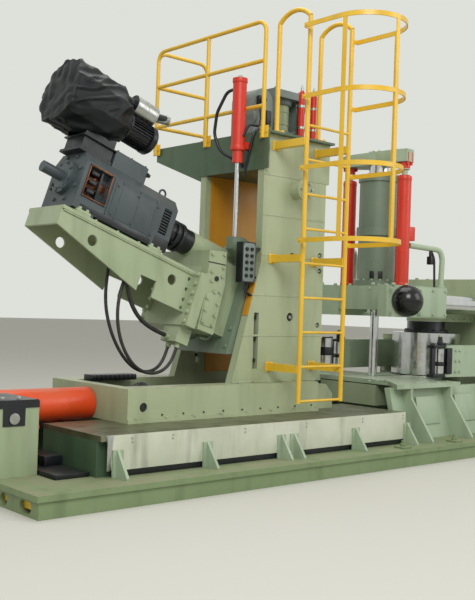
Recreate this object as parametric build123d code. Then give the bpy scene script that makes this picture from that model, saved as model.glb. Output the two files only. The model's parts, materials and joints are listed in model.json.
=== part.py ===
from build123d import *
import math
import os

# Radial-axial ring rolling machine, in millimetres.
# X runs along the machine from the axial stand's feed end to the main roll's end.
# Y points to the far side and Z points up.
# The origin is on the floor, below the main roll's axis.

# General clearances
FIT = 0.3            # running gap of a rod in its gland or a pin in its bore
CLEAR = 6            # gap between pieces that pass each other

# Foundation frame
FRAME_H = 156        # top of the frame above the floor
FRAME_HALF_W = 1300
FRAME_LEFT = -5690
FRAME_RIGHT = 2450
SIDE_BEAM_W = 405
END_BEAM_W = 360
LIP_H = 40           # top flange of the beams
LIP_OVER = 18        # how far the flange stands proud of the web
CROSS_BEAM_W = 240
SIDE_SLOT_Y = 1115   # rounded hand holes in the frame's end face
SIDE_SLOT_W = 150
END_SLOT_Y = 825
END_SLOT_W = 95
END_SLOT_H = 84
END_SLOT_DEEP = 120

# Bed of the axial stand
BED_LEFT = -5047
BED_RIGHT = -1660
BED_INNER_Y = 230    # half of the gap between the two bed beams
BED_OUTER_Y = 960
DECK_Z = 452         # running surface of the carriage
DECK_T = 40
GUARD_Y = 1020       # outer face of the way guards
GUARD_T = 8
GUARD_LEFT = -4955
GUARD_FOOT_Z = 204
GUARD_SLANT = 50     # how far the guard's left edge leans out toward its top
GUSSET_X = (-4911, -4087, -3295, -3148, -2372, -1640)
GUSSET_T = 24
GUSSET_TOP_Z = 349
GUSSET_FOOT_Y = 1160
GUSSET_BACK_W = 90
GUSSET_BACK_T = 12

# Feed cylinder of the axial stand
FEED_Z = 560
FEED_R = 132
FEED_REAR = -6150
FEED_ROD_R = 60
TRUNNION_X = -5527
TRUNNION_R = 38
CHEEK_INNER_Y = 190
CHEEK_OUTER_Y = 658
CHEEK_LEFT = -5680
CHEEK_RIGHT = -5334
CHEEK_TOP_Z = 632
CAP_TOP_Z = 688
BEARING_HALF_W = 84  # black bearing let into the top of each cheek
BEARING_DEPTH = 52   # how far it reaches below the trunnion's axis
BEARING_PROUD = 6
PIPE_R = 26
PIPE_DROP = 168      # axis of the supply pipe below the cylinder's axis

# Axial carriage
CARR_LEFT = -4515
CARR_RIGHT = -2382
CARR_HALF_W = 560
CARR_TOP_Z = 720
WELL_LEFT = -4400    # open well that the slide and its hoses dip into
WELL_HALF_W = 360
FOOT_STRIP_H = 32
FOOT_STRIP_OUT = 14
EYE_X = -4363
EYE_Z = 572
EYE_R = 37
CHEEK_END_X = -2050  # right end of the set-back blocks beside the lower cone
CHEEK_END_Z = 680
CHEEK_END_IN = 225
CHEEK_END_OUT = 440

# Stand on the carriage
PLATE_OUT_Y = 440
PLATE_T = 80
STAND_RIGHT = -2235
STAND_RIGHT_UP = -2195
STAND_LEFT = -3045
STAND_FOOT_LEFT = -3350
STAND_KNEE_Z = 1790
STAND_TOP_Z = 2940
STAND_STEP_Z = STAND_TOP_Z - 370
SLOT_X = -3081
SLOT_W = 60
SLOT_LOW_Z = 843
SLOT_HIGH_Z = 1339
PORTS = ((-2657, 1854, 40), (-2660, 1307, 40), (-2288, 1893, 25),
         (-2286, 1748, 25), (-2290, 1237, 25))
LUG_X = -2637
LUG_Z = 2467
LUG_R = 80
LUG_LEN = 110
BEAM_H = 320
BEAM_LOW_Z = STAND_TOP_Z - BEAM_H
FASCIA_T = 15
FASCIA_NEAR_Y = -500
DECK_PLATE_T = 20
DECK_TOP_Z = STAND_TOP_Z + DECK_PLATE_T
DECK_NEAR_OVER = 60  # how far the deck stands out over the plates
WALKWAY_FAR_Y = 1160
WALKWAY_RIGHT = -2420
WALKWAY_ROOT_H = 370
WALKWAY_TIP_H = 110
WALKWAY_BRACKET_T = 20

# Press cylinder and balance cylinder of the upper slide
PRESS_X = -2480
PRESS_R = 105
PRESS_ROD_R = 60
PRESS_TOP_Z = DECK_TOP_Z + 420
PRESS_FLANGE_R = 235
PRESS_FLANGE_T = 85
HEAD_PLATE_T = 70    # plate on top of the press cylinder, held by two side plates
HEAD_PLATE_HALF_X = 215
HEAD_PLATE_HALF_Y = 175
HEAD_SIDE_T = 60
OIL_TANK_X = -2870
OIL_TANK_Y = -60
OIL_TANK_HALF_X = 120
OIL_TANK_HALF_Y = 150
OIL_TANK_TOP_Z = DECK_TOP_Z + 440
BALANCE_X = -3190
BALANCE_Y = 240
BALANCE_HALF_Y = 45  # half width of its seat and of the slide's lug
BALANCE_R = 62
BALANCE_LOW_Z = STAND_TOP_Z - 160
BALANCE_TOP_Z = BALANCE_LOW_Z + 645
BALANCE_NECK = 110
BALANCE_ROD_R = 20
CLEVIS_Z = 2006
LUG_HALF_X = 60
LUG_ROOT_X = -2880
LUG_ROOT_DROP = 170  # how far the lug's root reaches down the slide's left face

# Upper drive, laid out along the cone's inclined axis
INCLINE = 18.7
AXIS_X = -4967       # a point on the axis, below the motor's rear end
AXIS_Z = 2417
CONE_APEX_S = 3380   # distance of the cone's tip from that point
CONE_TIP_R = 12
SLIDE_HALF_W = 350
SLIDE_RIGHT = -2310
SLIDE_TOP_Z = 1900
SLIDE_S0 = 2000      # where the slide's inclined left face crosses the axis
SLIDE_LOW_Z = 968
SLIDE_STEP_Z = 1210
SLIDE_STEP_X = -3130
CONE_NECK = 12       # how far the cone's base stands off the slide
CONE_NECK_R = 150
LOW_HOUSING_LEN = 560
LOW_HOUSING_R = 150
CRADLE_BACK = 330    # web that holds the lower housing, back from the cone's base
CRADLE_T = 200
CRADLE_TOP_Z = 700
CONE_POCKET_R = 230
BRACKET_HALF_W = 250
BRACKET_TOP_N = -281
BRACKET_PLATE_T = 28
BRACKET_S0 = 120
BRACKET_S1 = 1500
BRACKET_DEPTH = 650
BRACKET_SIDE_T = 20
BRACKET_END_N = -435
BRACKET_HOLE_S = (445, 1285)
BRACKET_HOLE_R = 45
POCKET_N = (-363, -455, -548, -622)
POCKET_R = 17
FLANGE_T = 50
FLANGE_HALF_W = 336
FLANGE_FOOT_N = -760
HOUSING_FLANGE_T = 53
HOUSING_FLANGE_TOP_N = -265
GEAR_OUTLINE = (     # gear housing in s and n
    (1626, -751), (1599, -380), (1515, -72), (1701, -13), (1784, -290), (1813, -741),
)
NECK_HALF_W = 240    # between the gear housing and the slide
NECK_LOW_N = -700
NECK_TOP_N = -60
NOSE_R = 115
HOSE_BLOCK_S0 = 1520
HOSE_BLOCK_S1 = 1660
HOSE_BLOCK_NEAR_Y = -230
HOSE_BLOCK_FAR_Y = -20
MOTOR_S0 = 186
MOTOR_S1 = 1142
MOTOR_HALF_W = 245
MOTOR_TOP_HALF_W = 170
MOTOR_LOW_N = -252
MOTOR_SHOULDER_N = 129
MOTOR_TOP_N = 215
MOTOR_FOOT_S = (276, 952)
MOTOR_FOOT_LEN = 110
MOTOR_WINDOW = (234, 440, -134, 110)
MOTOR_WINDOW_DEEP = 60
MOTOR_GRILLE = (1008, 1090, -122, 100)
MOTOR_GRILLE_DEEP = 12
MOTOR_BELL_R = 140
MOTOR_BELL_LEN = 40
MOTOR_SHAFT_S0 = -45
MOTOR_SHAFT_R = 45
COUPLING_R = 110
GLAND_LEN = 40       # hose glands under the bracket and on the cone housing
GLAND_OVER = 10      # how much wider a gland is than its hose
LOOP_HOSE_R = 18
LOOP_HOSE_S = 890
LOOP_HOSE_Y = -120
LOOP_HOSE_END_N = -865
DROP_HOSE_R = 14
DROP_HOSE_S = 762
DROP_HOSE_Y = -60
BRAID_HOSE_R = 14
BRAID_HOSE_S = 874
BRAID_HOSE_Y = -180
HOUSING_FOOT_N = -900
FAN_S0 = -70
FAN_S1 = 335
FAN_N = 630
FAN_R = 230
FAN_MOTOR_S1 = 740
FAN_MOTOR_Y = -100
FAN_MOTOR_N = 600
FAN_MOTOR_R = 100
SILENCER_S0 = 480
SILENCER_S1 = 700
SILENCER_Y = -110
SILENCER_N = 800
SILENCER_R = 88
SILENCER_NECK_R = 50
TAIL_PIPE_S1 = 830
TAIL_PIPE_Y = -150
TAIL_PIPE_N = 830
TAIL_PIPE_R = 38
DUCT_S0 = 140
DUCT_S1 = 430
DUCT_NEAR_Y = -150
DUCT_FAR_Y = 110
DUCT_FLANGE = 22     # width and thickness of the duct's flanges
COVER_S0 = -112
COVER_S1 = 350
COVER_OUTLINE = (    # y, and n from the fan's axis
    (-276, -92), (-225, -205), (-70, -282), (130, -262), (262, -130),
    (286, 40), (215, 206), (40, 288), (-150, 262), (-262, 110),
)
BOX_S0 = 445
BOX_S1 = 785
BOX_NEAR_Y = -170
BOX_FAR_Y = 150
BOX_TOP_N = 355

# Ladder, cage and handrails
LADDER_Y = -820
LADDER_X = (-2910, -2365)
LADDER_FOOT_Z = 565
RUNG_PITCH = 300
RUNG_R = 12
RAIL_R = 21
LADDER_TOP_Z = DECK_TOP_Z + 974
HOOP_Z = (1975, 2600, 3215, 3830)
HOOP_R = 350
HOOP_MID_Y = -1220
HOOP_BAR = 40
HOOP_T = 10
HANDRAIL_TOP_Z = DECK_TOP_Z + 975
HANDRAIL_MID_Z = DECK_TOP_Z + 620
HANDRAIL_LOW_Z = DECK_TOP_Z + 215
HANDRAIL_NEAR_Y = -440
HANDRAIL_BEND_R = 100
POST_R = 19
LADDER_TIE_Z = (860, 1826, STAND_TOP_Z - 100)
LADDER_TIE_HALF_W = 30
LADDER_TIE_HALF_H = 33

# Ring tracer, terminal box and pressure bottles on the stand
TRACER_X = -1685
TRACER_R = 70
TRACER_PIN_R = 25
TRACER_ARM_Z = 750
TRACER_ARM_H = 75
TRACER_ARM_W = 110
TRACER_LOW_Z = 840
TRACER_TOP_Z = 1100
VALVE_LEFT = -3270
VALVE_RIGHT = -3116
VALVE_D = 80
VALVE_LOW_Z = 1600
VALVE_TOP_Z = 1955
BOTTLE_X = (-2523, -2363)
BOTTLE_Y = -365
BOTTLE_R = 30
BOTTLE_H = 420

# Radial side: table, rolls and mandrel
TABLE_TOP_Z = 695
TABLE_T = 45
TABLE_LEFT = -1635
TABLE_HALF_W = 890
TABLE_NOTCH_X = -1330
TABLE_NOTCH_Y = 536
TABLE_RIGHT = -597
BASE_FOOT_Y = 905
BASE_TOP_Y = 770
BASE_T = 60
RIB_FIRST_X = -1405
RIB_PITCH = 650
RIB_FOOT_Y = 1160
RIB_TOP_Y = 893
RIB_T = 30
ROLL_R = 380
ROLL_LOW_Z = 705
ROLL_TOP_Z = 1170
HUB_R = 200
HUB_TOP_Z = 1300
ROLL_SHAFT_R = 120
ROLL_SHAFT_FOOT_Z = 261
HOUSE_LEFT = 480
HOUSE_RIGHT = 1250
HOUSE_HALF_W = 640
HOUSE_TOP_Z = 1800
ROLL_ARM_HALF_W = 300
ROLL_ARM_END_R = 225  # round end, clear of the mandrel head at full feed
ROLL_ARM_TOP_Z = 1480
LOW_ARM_HALF_W = 180
LOW_ARM_Z = 200
LOW_ARM_TOP_Z = 600
MANDREL_X = -927
MANDREL_R = 45
HEAD_LOW_Z = 1340
HEAD_TOP_Z = 1660
HEAD_LEFT = -1430
HEAD_RIGHT = -545
BEAM_LEFT = -1165
BEAM_RIGHT = -700
HEAD_HALF_W = 650
HEAD_BLOCK_IN = 310
HEAD_BEAM_RISE = 67  # underside of the cross beam above that of the end blocks
STUB_X = -1240
STUB_Z = 1502
STUB_R = 130
STUB_LEN = 100
STUB_ROUND = 55
PULL_Y = 450
PULL_Z = 1490
PULL_R = 100
LOW_PULL_Y = 260
LOW_PULL_Z = 520
LOW_PULL_R = 60
TUBE_R = 200
TUBE_TOP_Z = 2840
TUBE_COLLARS = (     # low and high end of each collar on the tube, and its radius
    (1660, 1716, 240), (2195, 2285, 222), (2775, 2840, 216),
)
SPINDLE_R = 107
SPINDLE_TOP_Z = 2960
LIFT_CYL_R = 73
LIFT_CYL_X = -965
LIFT_CYL_Y = 375
LIFT_CYL_TOP_Z = 2806
LIFT_ROD_R = 32
LIFT_FORK_R = 52
LIFT_FORK_LOW_Z = 2880
YOKE_TOP_Z = 3090
YOKE_HALF_W = 440
YOKE_WAIST_Y = 260
YOKE_LEFT = 130
YOKE_RIGHT = 170
YOKE_END_HALF_X = 60
LOW_BLOCK_RIGHT = -727
LOW_BLOCK_HALF_W = 380
LOW_BLOCK_FOOT_Z = 430
LOW_BLOCK_TOP_Z = 640
MANDREL_FOOT_Z = 561
MANDREL_GRIP_Z = 1370
MANDREL_TOP_Z = 1839.7
REAR_LEFT = 1640
REAR_RIGHT = 1880
REAR_HALF_W = 600
REAR_FOOT_Z = 400
REAR_TOP_Z = 1680
RADIAL_CYL_Z = 1050
RADIAL_CYL_R = 230
RADIAL_ROD_R = 130
GEARS_LEFT = 560     # gear unit of the main roll, beside the housing
GEARS_RIGHT = 1000
GEARS_FAR_Y = 1100
GEARS_TOP_Z = 760
DRIVE_Y = 880
DRIVE_Z = 470
DRIVE_R = 225
DRIVE_LEN = 900
DRIVE_FOOT_HALF_W = 180
ROLLER_X = -705
ROLLER_Y = 700
ROLLER_R = 50
ARM_PIVOT_X = 330
ARM_PIVOT_Y = 780
ARM_PIVOT_HALF_W = 90
ARM_LOW_Z = 735
ARM_TOP_Z = 1060
ARM_PIN_R = 40
ARM_LUG_T = 59
ROLLER_FORK_T = 30
ROLLER_PIN_R = 18
ROLLER_PIN_OVER = 105


def block(x0, x1, y0, y1, z0, z1):
    """Rectangular block between two opposite corners."""
    middle = Pos((x0 + x1) / 2, (y0 + y1) / 2, (z0 + z1) / 2)
    return middle * Box(x1 - x0, y1 - y0, z1 - z0)


def bar(start, end, radius):
    """Round bar or hole core between two points."""
    start = Vector(*start)
    along = Vector(*end) - start
    return extrude(Plane(origin=start, z_dir=along) * Circle(radius), along.length)


def plate_xz(points, y0, y1):
    """Plate with an outline in X and Z, between two Y values."""
    face = Plane.XZ.offset(-y1) * Polygon(*points, align=None)
    return extrude(face, y1 - y0, dir=(0, -1, 0))


def plate_xy(points, z0, z1):
    """Plate with an outline in X and Y, between two heights."""
    face = Plane.XY.offset(z0) * Polygon(*points, align=None)
    return extrude(face, z1 - z0, dir=(0, 0, 1))


def plate_yz(points, x0, x1):
    """Plate with an outline in Y and Z, between two X values."""
    face = Plane.YZ.offset(x0) * Polygon(*points, align=None)
    return extrude(face, x1 - x0, dir=(1, 0, 0))


def both_sides(shape):
    """The shape and its mirror image across the machine's centre plane."""
    return [shape, mirror(shape, about=Plane.XZ)]


def far_side(shape):
    return mirror(shape, about=Plane.XZ)


ANGLE = math.radians(INCLINE)
DRIVE = Plane(
    origin=(AXIS_X, 0, AXIS_Z),
    x_dir=(math.cos(ANGLE), 0, -math.sin(ANGLE)),
    z_dir=(math.sin(ANGLE), 0, math.cos(ANGLE)),
)


def on_drive(shape):
    """Place a shape drawn along the drive's axis: s along it, n square to it."""
    return DRIVE.location * shape


def axis_point(s, n=0):
    """Point in the centre plane, s along the drive's axis and n above it."""
    x = AXIS_X + s * math.cos(ANGLE) + n * math.sin(ANGLE)
    z = AXIS_Z - s * math.sin(ANGLE) + n * math.cos(ANGLE)
    return x, z


nodes = {}


# Foundation

def end_slot(y, width):
    """Core of a rounded hand hole in the frame's end face."""
    middle_z = (FRAME_H - LIP_H) / 2
    slot = Plane.YZ.offset(FRAME_LEFT) * Pos(y, middle_z) * SlotOverall(width, END_SLOT_H)
    return extrude(slot, END_SLOT_DEEP, dir=(1, 0, 0))


def foundation_side_beam():
    inner = -(FRAME_HALF_W - SIDE_BEAM_W)
    web = block(FRAME_LEFT + LIP_OVER, FRAME_RIGHT, -FRAME_HALF_W + LIP_OVER, inner,
                0, FRAME_H - LIP_H)
    lip = block(FRAME_LEFT, FRAME_RIGHT, -FRAME_HALF_W, inner, FRAME_H - LIP_H, FRAME_H)
    beam = web + lip
    return beam - end_slot(-SIDE_SLOT_Y, SIDE_SLOT_W)


def foundation_end_beam():
    half = FRAME_HALF_W - SIDE_BEAM_W
    web = block(FRAME_LEFT + LIP_OVER, FRAME_LEFT + END_BEAM_W, -half, half, 0, FRAME_H - LIP_H)
    lip = block(FRAME_LEFT, FRAME_LEFT + END_BEAM_W, -half, half, FRAME_H - LIP_H, FRAME_H)
    return web + lip - end_slot(-END_SLOT_Y, END_SLOT_W) - end_slot(END_SLOT_Y, END_SLOT_W)


def foundation_cross_beams():
    half = FRAME_HALF_W - SIDE_BEAM_W
    count = 4
    first = BED_LEFT
    pitch = (BED_RIGHT - CROSS_BEAM_W - first) / (count - 1)
    return [
        block(first + i * pitch, first + i * pitch + CROSS_BEAM_W, -half, half, 0, FRAME_H)
        for i in range(count)
    ]


def radial_slab():
    half = FRAME_HALF_W - SIDE_BEAM_W
    return block(BED_RIGHT, FRAME_RIGHT, -half, half, 0, FRAME_H)


nodes["foundation_side_beams"] = both_sides(foundation_side_beam())
nodes["foundation_cross_beams"] = [foundation_end_beam(), *foundation_cross_beams(), radial_slab()]


# Bed

def bed_beam():
    body = block(BED_LEFT, BED_RIGHT, -BED_OUTER_Y, -BED_INNER_Y, FRAME_H, DECK_Z - DECK_T)
    return body


def bed_way():
    """Flat guideway plate, wide enough to carry the top of the guard."""
    return block(BED_LEFT, BED_RIGHT, -(GUARD_Y - GUARD_T), -BED_INNER_Y, DECK_Z - DECK_T, DECK_Z)


def way_guard():
    outline = [
        (GUARD_LEFT, GUARD_FOOT_Z),
        (BED_RIGHT, GUARD_FOOT_Z),
        (BED_RIGHT, DECK_Z),
        (GUARD_LEFT - GUARD_SLANT, DECK_Z),
    ]
    return plate_xz(outline, -GUARD_Y, -(GUARD_Y - GUARD_T))


def bed_gusset(x):
    """Triangular web on a narrow back plate, standing on the frame."""
    web = plate_yz(
        [(-GUARD_Y, FRAME_H), (-GUSSET_FOOT_Y, FRAME_H), (-GUSSET_FOOT_Y, FRAME_H + 12),
         (-GUARD_Y - GUSSET_BACK_T, GUSSET_TOP_Z), (-GUARD_Y, GUSSET_TOP_Z)],
        x - GUSSET_T / 2, x + GUSSET_T / 2)
    back = block(x - GUSSET_BACK_W / 2, x + GUSSET_BACK_W / 2,
                 -GUARD_Y - GUSSET_BACK_T, -GUARD_Y, FRAME_H, GUSSET_TOP_Z)
    return web + back


nodes["bed_beams"] = both_sides(bed_beam())
nodes["bed_ways"] = both_sides(bed_way())
nodes["way_guards"] = both_sides(way_guard())
nodes["bed_gussets"] = [piece for x in GUSSET_X for piece in both_sides(bed_gusset(x))]


# Feed cylinder

def trunnion_cheek():
    cheek = block(CHEEK_LEFT, CHEEK_RIGHT, -CHEEK_OUTER_Y, -CHEEK_INNER_Y, FRAME_H, CHEEK_TOP_Z)
    return cheek - trunnion_seat()


def trunnion_seat():
    """Bearing block let into a cheek, without its bore."""
    return block(TRUNNION_X - BEARING_HALF_W, TRUNNION_X + BEARING_HALF_W,
                 -CHEEK_OUTER_Y - BEARING_PROUD, -CHEEK_INNER_Y, FEED_Z - BEARING_DEPTH, CHEEK_TOP_Z)


def trunnion_bearing():
    """Bearing block with the cap that is bolted over it along the cheek's top."""
    cap = block(CHEEK_LEFT, CHEEK_RIGHT, -CHEEK_OUTER_Y - BEARING_PROUD, -CHEEK_INNER_Y,
                CHEEK_TOP_Z, CAP_TOP_Z)
    cap = chamfer(cap.edges().filter_by(Axis.Y).group_by(Axis.Z)[-1], BEARING_PROUD * 2)
    bore = bar((TRUNNION_X, -CHEEK_OUTER_Y - CLEAR - 1, FEED_Z), (TRUNNION_X, -CHEEK_INNER_Y + 1, FEED_Z),
               TRUNNION_R + FIT)
    return trunnion_seat() + cap - bore


def feed_barrel():
    end = CARR_LEFT - CLEAR
    tube = bar((FEED_REAR, 0, FEED_Z), (end, 0, FEED_Z), FEED_R)
    collar = bar((TRUNNION_X - 90, 0, FEED_Z), (TRUNNION_X + 90, 0, FEED_Z), FEED_R + 20)
    pins = bar((TRUNNION_X, -CHEEK_OUTER_Y - 8, FEED_Z), (TRUNNION_X, CHEEK_OUTER_Y + 8, FEED_Z),
               TRUNNION_R)
    bore = bar((FEED_REAR + 120, 0, FEED_Z), (end, 0, FEED_Z), FEED_ROD_R + FIT)
    return (tube + collar + pins) - bore


def feed_pipe():
    z = FEED_Z - PIPE_DROP
    run = bar((CHEEK_RIGHT + 150, 0, z), (BED_LEFT + 330, 0, z), PIPE_R)
    foot = bar((CHEEK_RIGHT + 200, 0, z), (CHEEK_RIGHT + 200, 0, FEED_Z - FEED_R + 10), PIPE_R)
    return run + foot


nodes["trunnion_blocks"] = both_sides(trunnion_cheek())
nodes["trunnion_bearings"] = both_sides(trunnion_bearing())
nodes["feed_cylinder"] = feed_barrel() + feed_pipe()


# Axial carriage

def carriage_frame():
    body = block(CARR_LEFT, CARR_RIGHT, -CARR_HALF_W, CARR_HALF_W, DECK_Z, CARR_TOP_Z)
    for y0 in (-CARR_HALF_W - FOOT_STRIP_OUT, CARR_HALF_W):
        body += block(CARR_LEFT, CARR_RIGHT, y0, y0 + FOOT_STRIP_OUT, DECK_Z, DECK_Z + FOOT_STRIP_H)
    body -= block(WELL_LEFT, CARR_RIGHT + 1, -WELL_HALF_W, WELL_HALF_W, DECK_Z - 1, CARR_TOP_Z + 1)
    for side in (-1, 1):
        body -= bar((EYE_X, side * CARR_HALF_W, EYE_Z), (EYE_X, side * (CARR_HALF_W - 60), EYE_Z),
                    EYE_R)
    return body


def cheek_block():
    """Set-back block beside the lower cone."""
    outline = [
        (CARR_RIGHT, DECK_Z), (CHEEK_END_X, DECK_Z), (CHEEK_END_X, CHEEK_END_Z - 90),
        (CHEEK_END_X - 90, CHEEK_END_Z), (CARR_RIGHT, CHEEK_END_Z),
    ]
    return plate_xz(outline, -CHEEK_END_OUT, -CHEEK_END_IN)


def feed_rod():
    return bar((FEED_REAR + 400, 0, FEED_Z), (CARR_LEFT, 0, FEED_Z), FEED_ROD_R)


LOW_AXIS_RISE = math.tan(ANGLE)
LOW_APEX_X = AXIS_X + CONE_APEX_S * math.cos(ANGLE)
LOW_APEX_Z = TABLE_TOP_Z + 5


def low_axis(x):
    """Point on the lower cone's axis, which falls away from the roll gap."""
    return x, 0, LOW_APEX_Z - (LOW_APEX_X - x) * LOW_AXIS_RISE


CONE_FACE_X = SLIDE_RIGHT + 20


def lower_cone_plane(x):
    point = low_axis(x)
    return Plane(origin=point, z_dir=(math.cos(ANGLE), 0, math.sin(ANGLE)))


def cone_length():
    return (LOW_APEX_X - CONE_FACE_X) / math.cos(ANGLE)


def cone_solid():
    """Cone roll from its base, pointing along +Z, cut off short of its tip."""
    length = cone_length()
    base_r = length * math.tan(ANGLE)
    short = length * (1 - CONE_TIP_R / base_r)
    return Cone(base_r, CONE_TIP_R, short, align=(Align.CENTER, Align.CENTER, Align.MIN))


def lower_cone():
    cone = lower_cone_plane(CONE_FACE_X).location * cone_solid()
    return cone


def lower_cone_housing():
    return bar(low_axis(CONE_FACE_X - LOW_HOUSING_LEN), low_axis(CONE_FACE_X), LOW_HOUSING_R)


def lower_cone_cradle():
    """Cross web between the carriage walls that holds the lower housing."""
    left = CONE_FACE_X - CRADLE_BACK
    web = block(left, left + CRADLE_T, -WELL_HALF_W, WELL_HALF_W, DECK_Z, CRADLE_TOP_Z)
    web -= bar(low_axis(left - LOW_HOUSING_LEN), low_axis(CONE_FACE_X), LOW_HOUSING_R)
    return web


nodes["axial_carriage"] = carriage_frame() + both_sides(cheek_block()) + lower_cone_cradle()
nodes["feed_rod"] = feed_rod()
nodes["lower_cone"] = lower_cone() + lower_cone_housing()


# Stand

def stand_outline():
    return [
        (STAND_FOOT_LEFT, CARR_TOP_Z),
        (STAND_RIGHT, CARR_TOP_Z),
        (STAND_RIGHT, STAND_STEP_Z),
        (STAND_RIGHT_UP, STAND_STEP_Z),
        (STAND_RIGHT_UP, STAND_TOP_Z),
        (STAND_LEFT, STAND_TOP_Z),
        (STAND_LEFT, STAND_KNEE_Z),
    ]


def stand_plate():
    inner = PLATE_OUT_Y - PLATE_T
    plate = plate_xz(stand_outline(), -PLATE_OUT_Y, -inner)
    plate = plate - plate_xz(
        [(SLOT_X - SLOT_W / 2, SLOT_LOW_Z), (SLOT_X + SLOT_W / 2, SLOT_LOW_Z),
         (SLOT_X + SLOT_W / 2, SLOT_HIGH_Z), (SLOT_X - SLOT_W / 2, SLOT_HIGH_Z)],
        -PLATE_OUT_Y - 1, -inner + 1)
    for x, z, radius in PORTS:
        plate -= bar((x, -PLATE_OUT_Y - 1, z), (x, -PLATE_OUT_Y + 45, z), radius)
    lug = bar((LUG_X, -PLATE_OUT_Y - LUG_LEN, LUG_Z), (LUG_X, -PLATE_OUT_Y, LUG_Z), LUG_R)
    rim = bar((LUG_X, -PLATE_OUT_Y - LUG_LEN - 20, LUG_Z), (LUG_X, -PLATE_OUT_Y - LUG_LEN, LUG_Z),
              LUG_R + 22)
    return plate + lug + rim


def guide_liner():
    """Wear strip on a plate's inner face, along which the slide runs."""
    inner = PLATE_OUT_Y - PLATE_T
    return block(STAND_LEFT + 60, STAND_RIGHT - 90, -inner, -SLIDE_HALF_W - FIT,
                 CARR_TOP_Z + 40, BEAM_LOW_Z)


def top_beam():
    inner = PLATE_OUT_Y - PLATE_T
    beam = block(STAND_LEFT, STAND_RIGHT_UP, -inner, inner, BEAM_LOW_Z, STAND_TOP_Z)
    beam -= bar((PRESS_X, 0, BEAM_LOW_Z - 1), (PRESS_X, 0, STAND_TOP_Z + 1), PRESS_R + 40)
    return beam


def top_deck():
    edge = PLATE_OUT_Y + DECK_NEAR_OVER
    deck = plate_xy(
        [(STAND_LEFT, -edge), (STAND_RIGHT_UP, -edge), (STAND_RIGHT_UP, edge), (WALKWAY_RIGHT, edge),
         (WALKWAY_RIGHT, WALKWAY_FAR_Y), (STAND_LEFT, WALKWAY_FAR_Y)], STAND_TOP_Z, DECK_TOP_Z)
    return deck - bar((PRESS_X, 0, STAND_TOP_Z - 1), (PRESS_X, 0, DECK_TOP_Z + 1), PRESS_R + 40)


def fascia():
    return block(STAND_LEFT - FASCIA_T, STAND_LEFT, FASCIA_NEAR_Y, PLATE_OUT_Y,
                 BEAM_LOW_Z, DECK_TOP_Z)


def walkway_bracket(x0, x1):
    """Tapered bracket under the far walkway."""
    return plate_yz(
        [(PLATE_OUT_Y, STAND_TOP_Z - WALKWAY_ROOT_H), (PLATE_OUT_Y, STAND_TOP_Z),
         (WALKWAY_FAR_Y, STAND_TOP_Z), (WALKWAY_FAR_Y, STAND_TOP_Z - WALKWAY_TIP_H)], x0, x1)


def press_cylinder():
    """Press cylinder on a round flange, under a head plate on two side plates."""
    flange_top = DECK_TOP_Z + PRESS_FLANGE_T
    body = bar((PRESS_X, 0, BEAM_LOW_Z), (PRESS_X, 0, DECK_TOP_Z), PRESS_R + 40)
    body += bar((PRESS_X, 0, DECK_TOP_Z), (PRESS_X, 0, flange_top), PRESS_FLANGE_R)
    body += bar((PRESS_X, 0, flange_top), (PRESS_X, 0, PRESS_TOP_Z), PRESS_R)
    left = PRESS_X - HEAD_PLATE_HALF_X
    right = PRESS_X + HEAD_PLATE_HALF_X
    body += block(left, right, -HEAD_PLATE_HALF_Y, HEAD_PLATE_HALF_Y, PRESS_TOP_Z,
                  PRESS_TOP_Z + HEAD_PLATE_T)
    for x0 in (left, right - HEAD_SIDE_T):
        body += plate_yz(
            [(-HEAD_PLATE_HALF_Y, PRESS_TOP_Z), (-HEAD_PLATE_HALF_Y * 0.6, DECK_TOP_Z),
             (HEAD_PLATE_HALF_Y * 0.6, DECK_TOP_Z), (HEAD_PLATE_HALF_Y, PRESS_TOP_Z)],
            x0, x0 + HEAD_SIDE_T)
    bore = bar((PRESS_X, 0, BEAM_LOW_Z - 1), (PRESS_X, 0, PRESS_TOP_Z), PRESS_ROD_R + FIT)
    return body - bore


def oil_tank():
    """Round-topped tank beside the press cylinder."""
    near = OIL_TANK_Y - OIL_TANK_HALF_Y
    far = OIL_TANK_Y + OIL_TANK_HALF_Y
    round_z = OIL_TANK_TOP_Z - OIL_TANK_HALF_X
    body = block(OIL_TANK_X - OIL_TANK_HALF_X, OIL_TANK_X + OIL_TANK_HALF_X, near, far,
                 DECK_TOP_Z, round_z)
    return body + bar((OIL_TANK_X, near, round_z), (OIL_TANK_X, far, round_z), OIL_TANK_HALF_X)


def balance_cylinder():
    y = -BALANCE_Y
    tube = bar((BALANCE_X, y, BALANCE_LOW_Z), (BALANCE_X, y, BALANCE_TOP_Z), BALANCE_R)
    neck_low = BALANCE_LOW_Z - BALANCE_NECK
    neck = bar((BALANCE_X, y, neck_low), (BALANCE_X, y, BALANCE_LOW_Z), BALANCE_R - 14)
    seat = block(BALANCE_X, STAND_LEFT - FASCIA_T, y - BALANCE_HALF_Y, y + BALANCE_HALF_Y,
                 BALANCE_LOW_Z + 20, BALANCE_LOW_Z + 80)
    bore = bar((BALANCE_X, y, neck_low - 1), (BALANCE_X, y, BALANCE_TOP_Z - 30), BALANCE_ROD_R + FIT)
    return (tube + neck + seat) - bore


nodes["stand_plate_near"] = stand_plate()
nodes["stand_plate_far"] = far_side(stand_plate())
nodes["guide_liners"] = both_sides(guide_liner())
nodes["stand_top_beam"] = top_beam() + fascia()
nodes["stand_top_deck"] = [
    top_deck(),
    walkway_bracket(STAND_LEFT, STAND_LEFT + WALKWAY_BRACKET_T),
    walkway_bracket(WALKWAY_RIGHT - WALKWAY_BRACKET_T, WALKWAY_RIGHT),
]
nodes["press_cylinder"] = press_cylinder()
nodes["oil_tank"] = oil_tank()
nodes["balance_cylinder"] = balance_cylinder()


# Ladder, cage and handrails

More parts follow.
